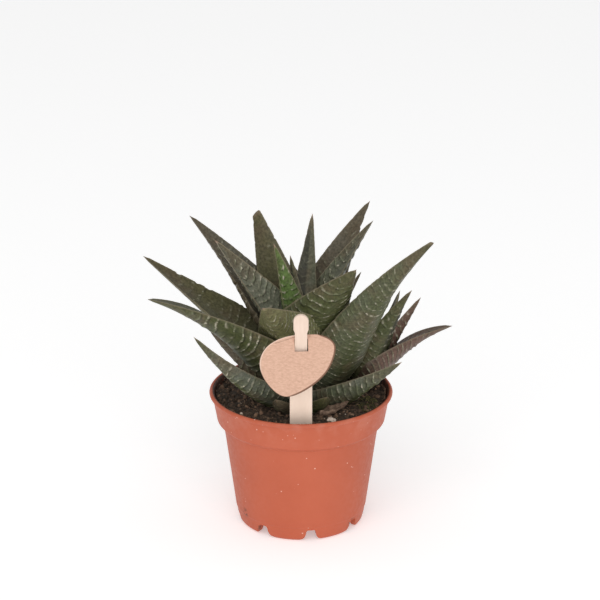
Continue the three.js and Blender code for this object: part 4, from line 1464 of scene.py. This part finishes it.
class HAWORTHIA_OT_soil(bpy.types.Operator):
    """Makes the soil, its crumbs, pale grains, fibres and moss."""

    bl_idname = "haworthia.soil"
    bl_label = "Soil"

    def execute(self, context):
        settings = context.scene.haworthia_soil
        add_piece("soil_ground", ground_shape(), soil_finish(settings), "soil")
        draw = random.Random(SOIL_SEED)
        self.add_crumbs(draw, settings)
        self.add_grains(draw, settings)
        self.add_fibres(draw, settings)
        self.add_moss(draw, settings)
        return {"FINISHED"}

    def add_crumbs(self, draw, settings):
        crumbs = Litter(draw)
        for i in range(settings.crumbs):
            radius = drawn(draw, CRUMB_RADIUS)
            place = scattered(draw, CRUMBS_FROM, soil_edge() - EDGE_ROOM)
            crumbs.lump(place, radius, drawn(draw, CRUMB_TONE), 2 if radius > LARGE_CRUMB else 1)
        for i in range(settings.clinging):
            place = on_circle(CLINGING_FROM_AXIS, 2 * math.pi * draw.random())
            lift = drawn(draw, CLINGING_LIFT)
            radius = drawn(draw, CLINGING_RADIUS)
            crumbs.lump(place, radius, drawn(draw, CLINGING_TONE), lift=lift)
        dark, pale = settings.dark_colour, settings.pale_colour
        finish = tinted_finish("peat_crumbs", dark, pale, scale=700, roughness=0.92)
        crumbs.finish("soil_crumbs", finish, sharp=LITTER_CREASE)

    def add_grains(self, draw, settings):
        grains = Litter(draw)
        for i in range(settings.grains):
            radius = drawn(draw, GRAIN_RADIUS)
            place = scattered(draw, GRAINS_FROM, soil_edge() - EDGE_ROOM)
            grains.lump(place, radius, drawn(draw, GRAIN_TONE), flat=0.6)
        for x, y, radius in PERLITE:
            grains.lump((x, y), radius, 1.0, detail=2, flat=0.9)
        dark, pale = settings.grain_shade_colour, settings.grain_colour
        finish = tinted_finish("pale_grains", dark, pale, scale=600, roughness=0.8)
        grains.finish("soil_grains", finish, sharp=LITTER_CREASE)

    def add_fibres(self, draw, settings):
        fibres = Litter(draw)
        for i in range(settings.strands):
            length = drawn(draw, FIBRE_LENGTH)
            place = scattered(draw, FIBRES_FROM, soil_edge() - EDGE_ROOM - FIBRE_ROOM)
            radius = drawn(draw, FIBRE_RADIUS)
            tone = drawn(draw, ANY)
            fibres.strand(place, length, radius, tone, drawn(draw, FIBRE_LIFT))
        dark, pale = settings.fibre_shade_colour, settings.fibre_colour
        finish = tinted_finish("root_fibre", dark, pale, scale=900, roughness=0.85)
        fibres.finish("soil_fibres", finish)

    def add_moss(self, draw, settings):
        moss = Litter(draw)
        for i in range(settings.tufts):
            turn = 2 * math.pi * draw.random()
            spread = math.sqrt(draw.random())
            x = MOSS_MIDDLE[0] + MOSS_REACH[0] * spread * math.cos(turn)
            y = MOSS_MIDDLE[1] + MOSS_REACH[1] * spread * math.sin(turn)
            radius = drawn(draw, MOSS_RADIUS)
            moss.lump((x, y), radius, drawn(draw, ANY), flat=0.9)
        dark, pale = settings.moss_shade_colour, settings.moss_colour
        finish = tinted_finish("moss", dark, pale, scale=1200, roughness=0.95)
        moss.finish("soil_moss", finish, sharp=LITTER_CREASE)


class HAWORTHIA_OT_label_stick(bpy.types.Operator):
    """Makes the wooden stick."""

    bl_idname = "haworthia.label_stick"
    bl_label = "Label stick"

    def execute(self, context):
        finish = stick_finish(context.scene.haworthia_label)
        add_piece("label_stick_fine", stick_shape(), finish, "label_stick", sharp=LABEL_CREASE)
        return {"FINISHED"}


class HAWORTHIA_OT_label_board(bpy.types.Operator):
    """Makes the bare board on the stick's head."""

    bl_idname = "haworthia.label_board"
    bl_label = "Label board"

    def execute(self, context):
        settings = context.scene.haworthia_label
        face = board_finish("board_face", settings, False)
        node = "label_board"
        board = add_piece(node + "_fine", board_shape(), face, node, sharp=LABEL_CREASE)
        board.data.materials.append(board_finish("board_cut_edge", settings, True))
        return {"FINISHED"}


def aimed(place, target):
    """The placement of a lamp or camera that looks from its place at a target."""
    turn = (Vector(target) - Vector(place)).to_track_quat("-Z", "Y")
    return Matrix.Translation(place) @ turn.to_matrix().to_4x4()


class HAWORTHIA_OT_stage(bpy.types.Operator):
    """Makes the floor, the lights and the camera."""

    bl_idname = "haworthia.stage"
    bl_label = "Stage"

    def execute(self, context):
        settings = context.scene.haworthia_stage
        scene = context.scene
        shape = bmesh.new()
        bmesh.ops.create_grid(shape, x_segments=1, y_segments=1, size=FLOOR_REACH)
        floor = add_object("floor", to_mesh("floor", shape))
        finish = Finish("floor_paper")
        finish.feed(finish.shader.inputs["Emission Color"], (1, 1, 1, 1))
        finish.feed(finish.shader.inputs["Emission Strength"], settings.glow)
        floor.data.materials.append(finish.done((*settings.floor_colour, 1.0), 0.95))
        scene.world = bpy.data.worlds.new("studio")
        scene.world.use_nodes = True
        backdrop = scene.world.node_tree.nodes["Background"]
        backdrop.inputs["Color"].default_value = (1, 1, 1, 1)
        backdrop.inputs["Strength"].default_value = settings.sky
        for name, place, size, power in (
            ("key_light", KEY_PLACE, KEY_SIZE, settings.key),
            ("fill_light", FILL_PLACE, FILL_SIZE, settings.fill),
        ):
            lamp = bpy.data.lights.new(name, "AREA")
            lamp.energy = power
            lamp.size = size
            add_object(name, lamp).matrix_world = aimed(place, LAMP_AIM)
        lens = bpy.data.cameras.new("camera")
        lens.lens = CAMERA_LENS
        lens.sensor_width = CAMERA_SENSOR
        lens.clip_start = CAMERA_CLIP
        elevation = math.radians(CAMERA_ELEVATION)
        away = Vector((0, -math.cos(elevation), math.sin(elevation)))
        camera = add_object("camera", lens)
        camera.matrix_world = aimed(Vector(CAMERA_AIM) + CAMERA_DISTANCE * away, CAMERA_AIM)
        scene.camera = camera
        scene.view_settings.view_transform = "Standard"
        return {"FINISHED"}


OPERATORS = (
    HAWORTHIA_OT_pot,
    HAWORTHIA_OT_soil,
    HAWORTHIA_OT_stems,
    HAWORTHIA_OT_leaves,
    HAWORTHIA_OT_dead_leaf,
    HAWORTHIA_OT_label_stick,
    HAWORTHIA_OT_label_board,
    HAWORTHIA_OT_stage,
)

SETTINGS = {
    "haworthia_leaves": HaworthiaLeafSettings,
    "haworthia_dead_leaf": HaworthiaDeadLeafSettings,
    "haworthia_pot": HaworthiaPotSettings,
    "haworthia_soil": HaworthiaSoilSettings,
    "haworthia_label": HaworthiaLabelSettings,
    "haworthia_stage": HaworthiaStageSettings,
}


class HAWORTHIA_PT_panel(bpy.types.Panel):
    """Lists the pieces and their settings."""

    bl_label = "Potted haworthia"
    bl_idname = "HAWORTHIA_PT_panel"
    bl_space_type = "VIEW_3D"
    bl_region_type = "UI"
    bl_category = "Haworthia"

    def draw(self, context):
        for operator in OPERATORS:
            self.layout.operator(operator.bl_idname)
        for name, group in SETTINGS.items():
            box = self.layout.box()
            box.label(text=group.__doc__)
            for field in group.__annotations__:
                box.prop(getattr(context.scene, name), field)


def register():
    for group in SETTINGS.values():
        bpy.utils.register_class(group)
    for name, group in SETTINGS.items():
        setattr(bpy.types.Scene, name, PointerProperty(type=group))
    for operator in OPERATORS:
        bpy.utils.register_class(operator)
    bpy.utils.register_class(HAWORTHIA_PT_panel)


def unregister():
    bpy.utils.unregister_class(HAWORTHIA_PT_panel)
    for operator in reversed(OPERATORS):
        bpy.utils.unregister_class(operator)
    for name, group in SETTINGS.items():
        delattr(bpy.types.Scene, name)
        bpy.utils.unregister_class(group)


def main():
    register()
    bpy.ops.haworthia.pot()
    bpy.ops.haworthia.soil()
    bpy.ops.haworthia.stems()
    bpy.ops.haworthia.leaves()
    bpy.ops.haworthia.dead_leaf()
    bpy.ops.haworthia.label_stick()
    bpy.ops.haworthia.label_board()
    bpy.ops.haworthia.stage()


if __name__ == "__main__":
    main()
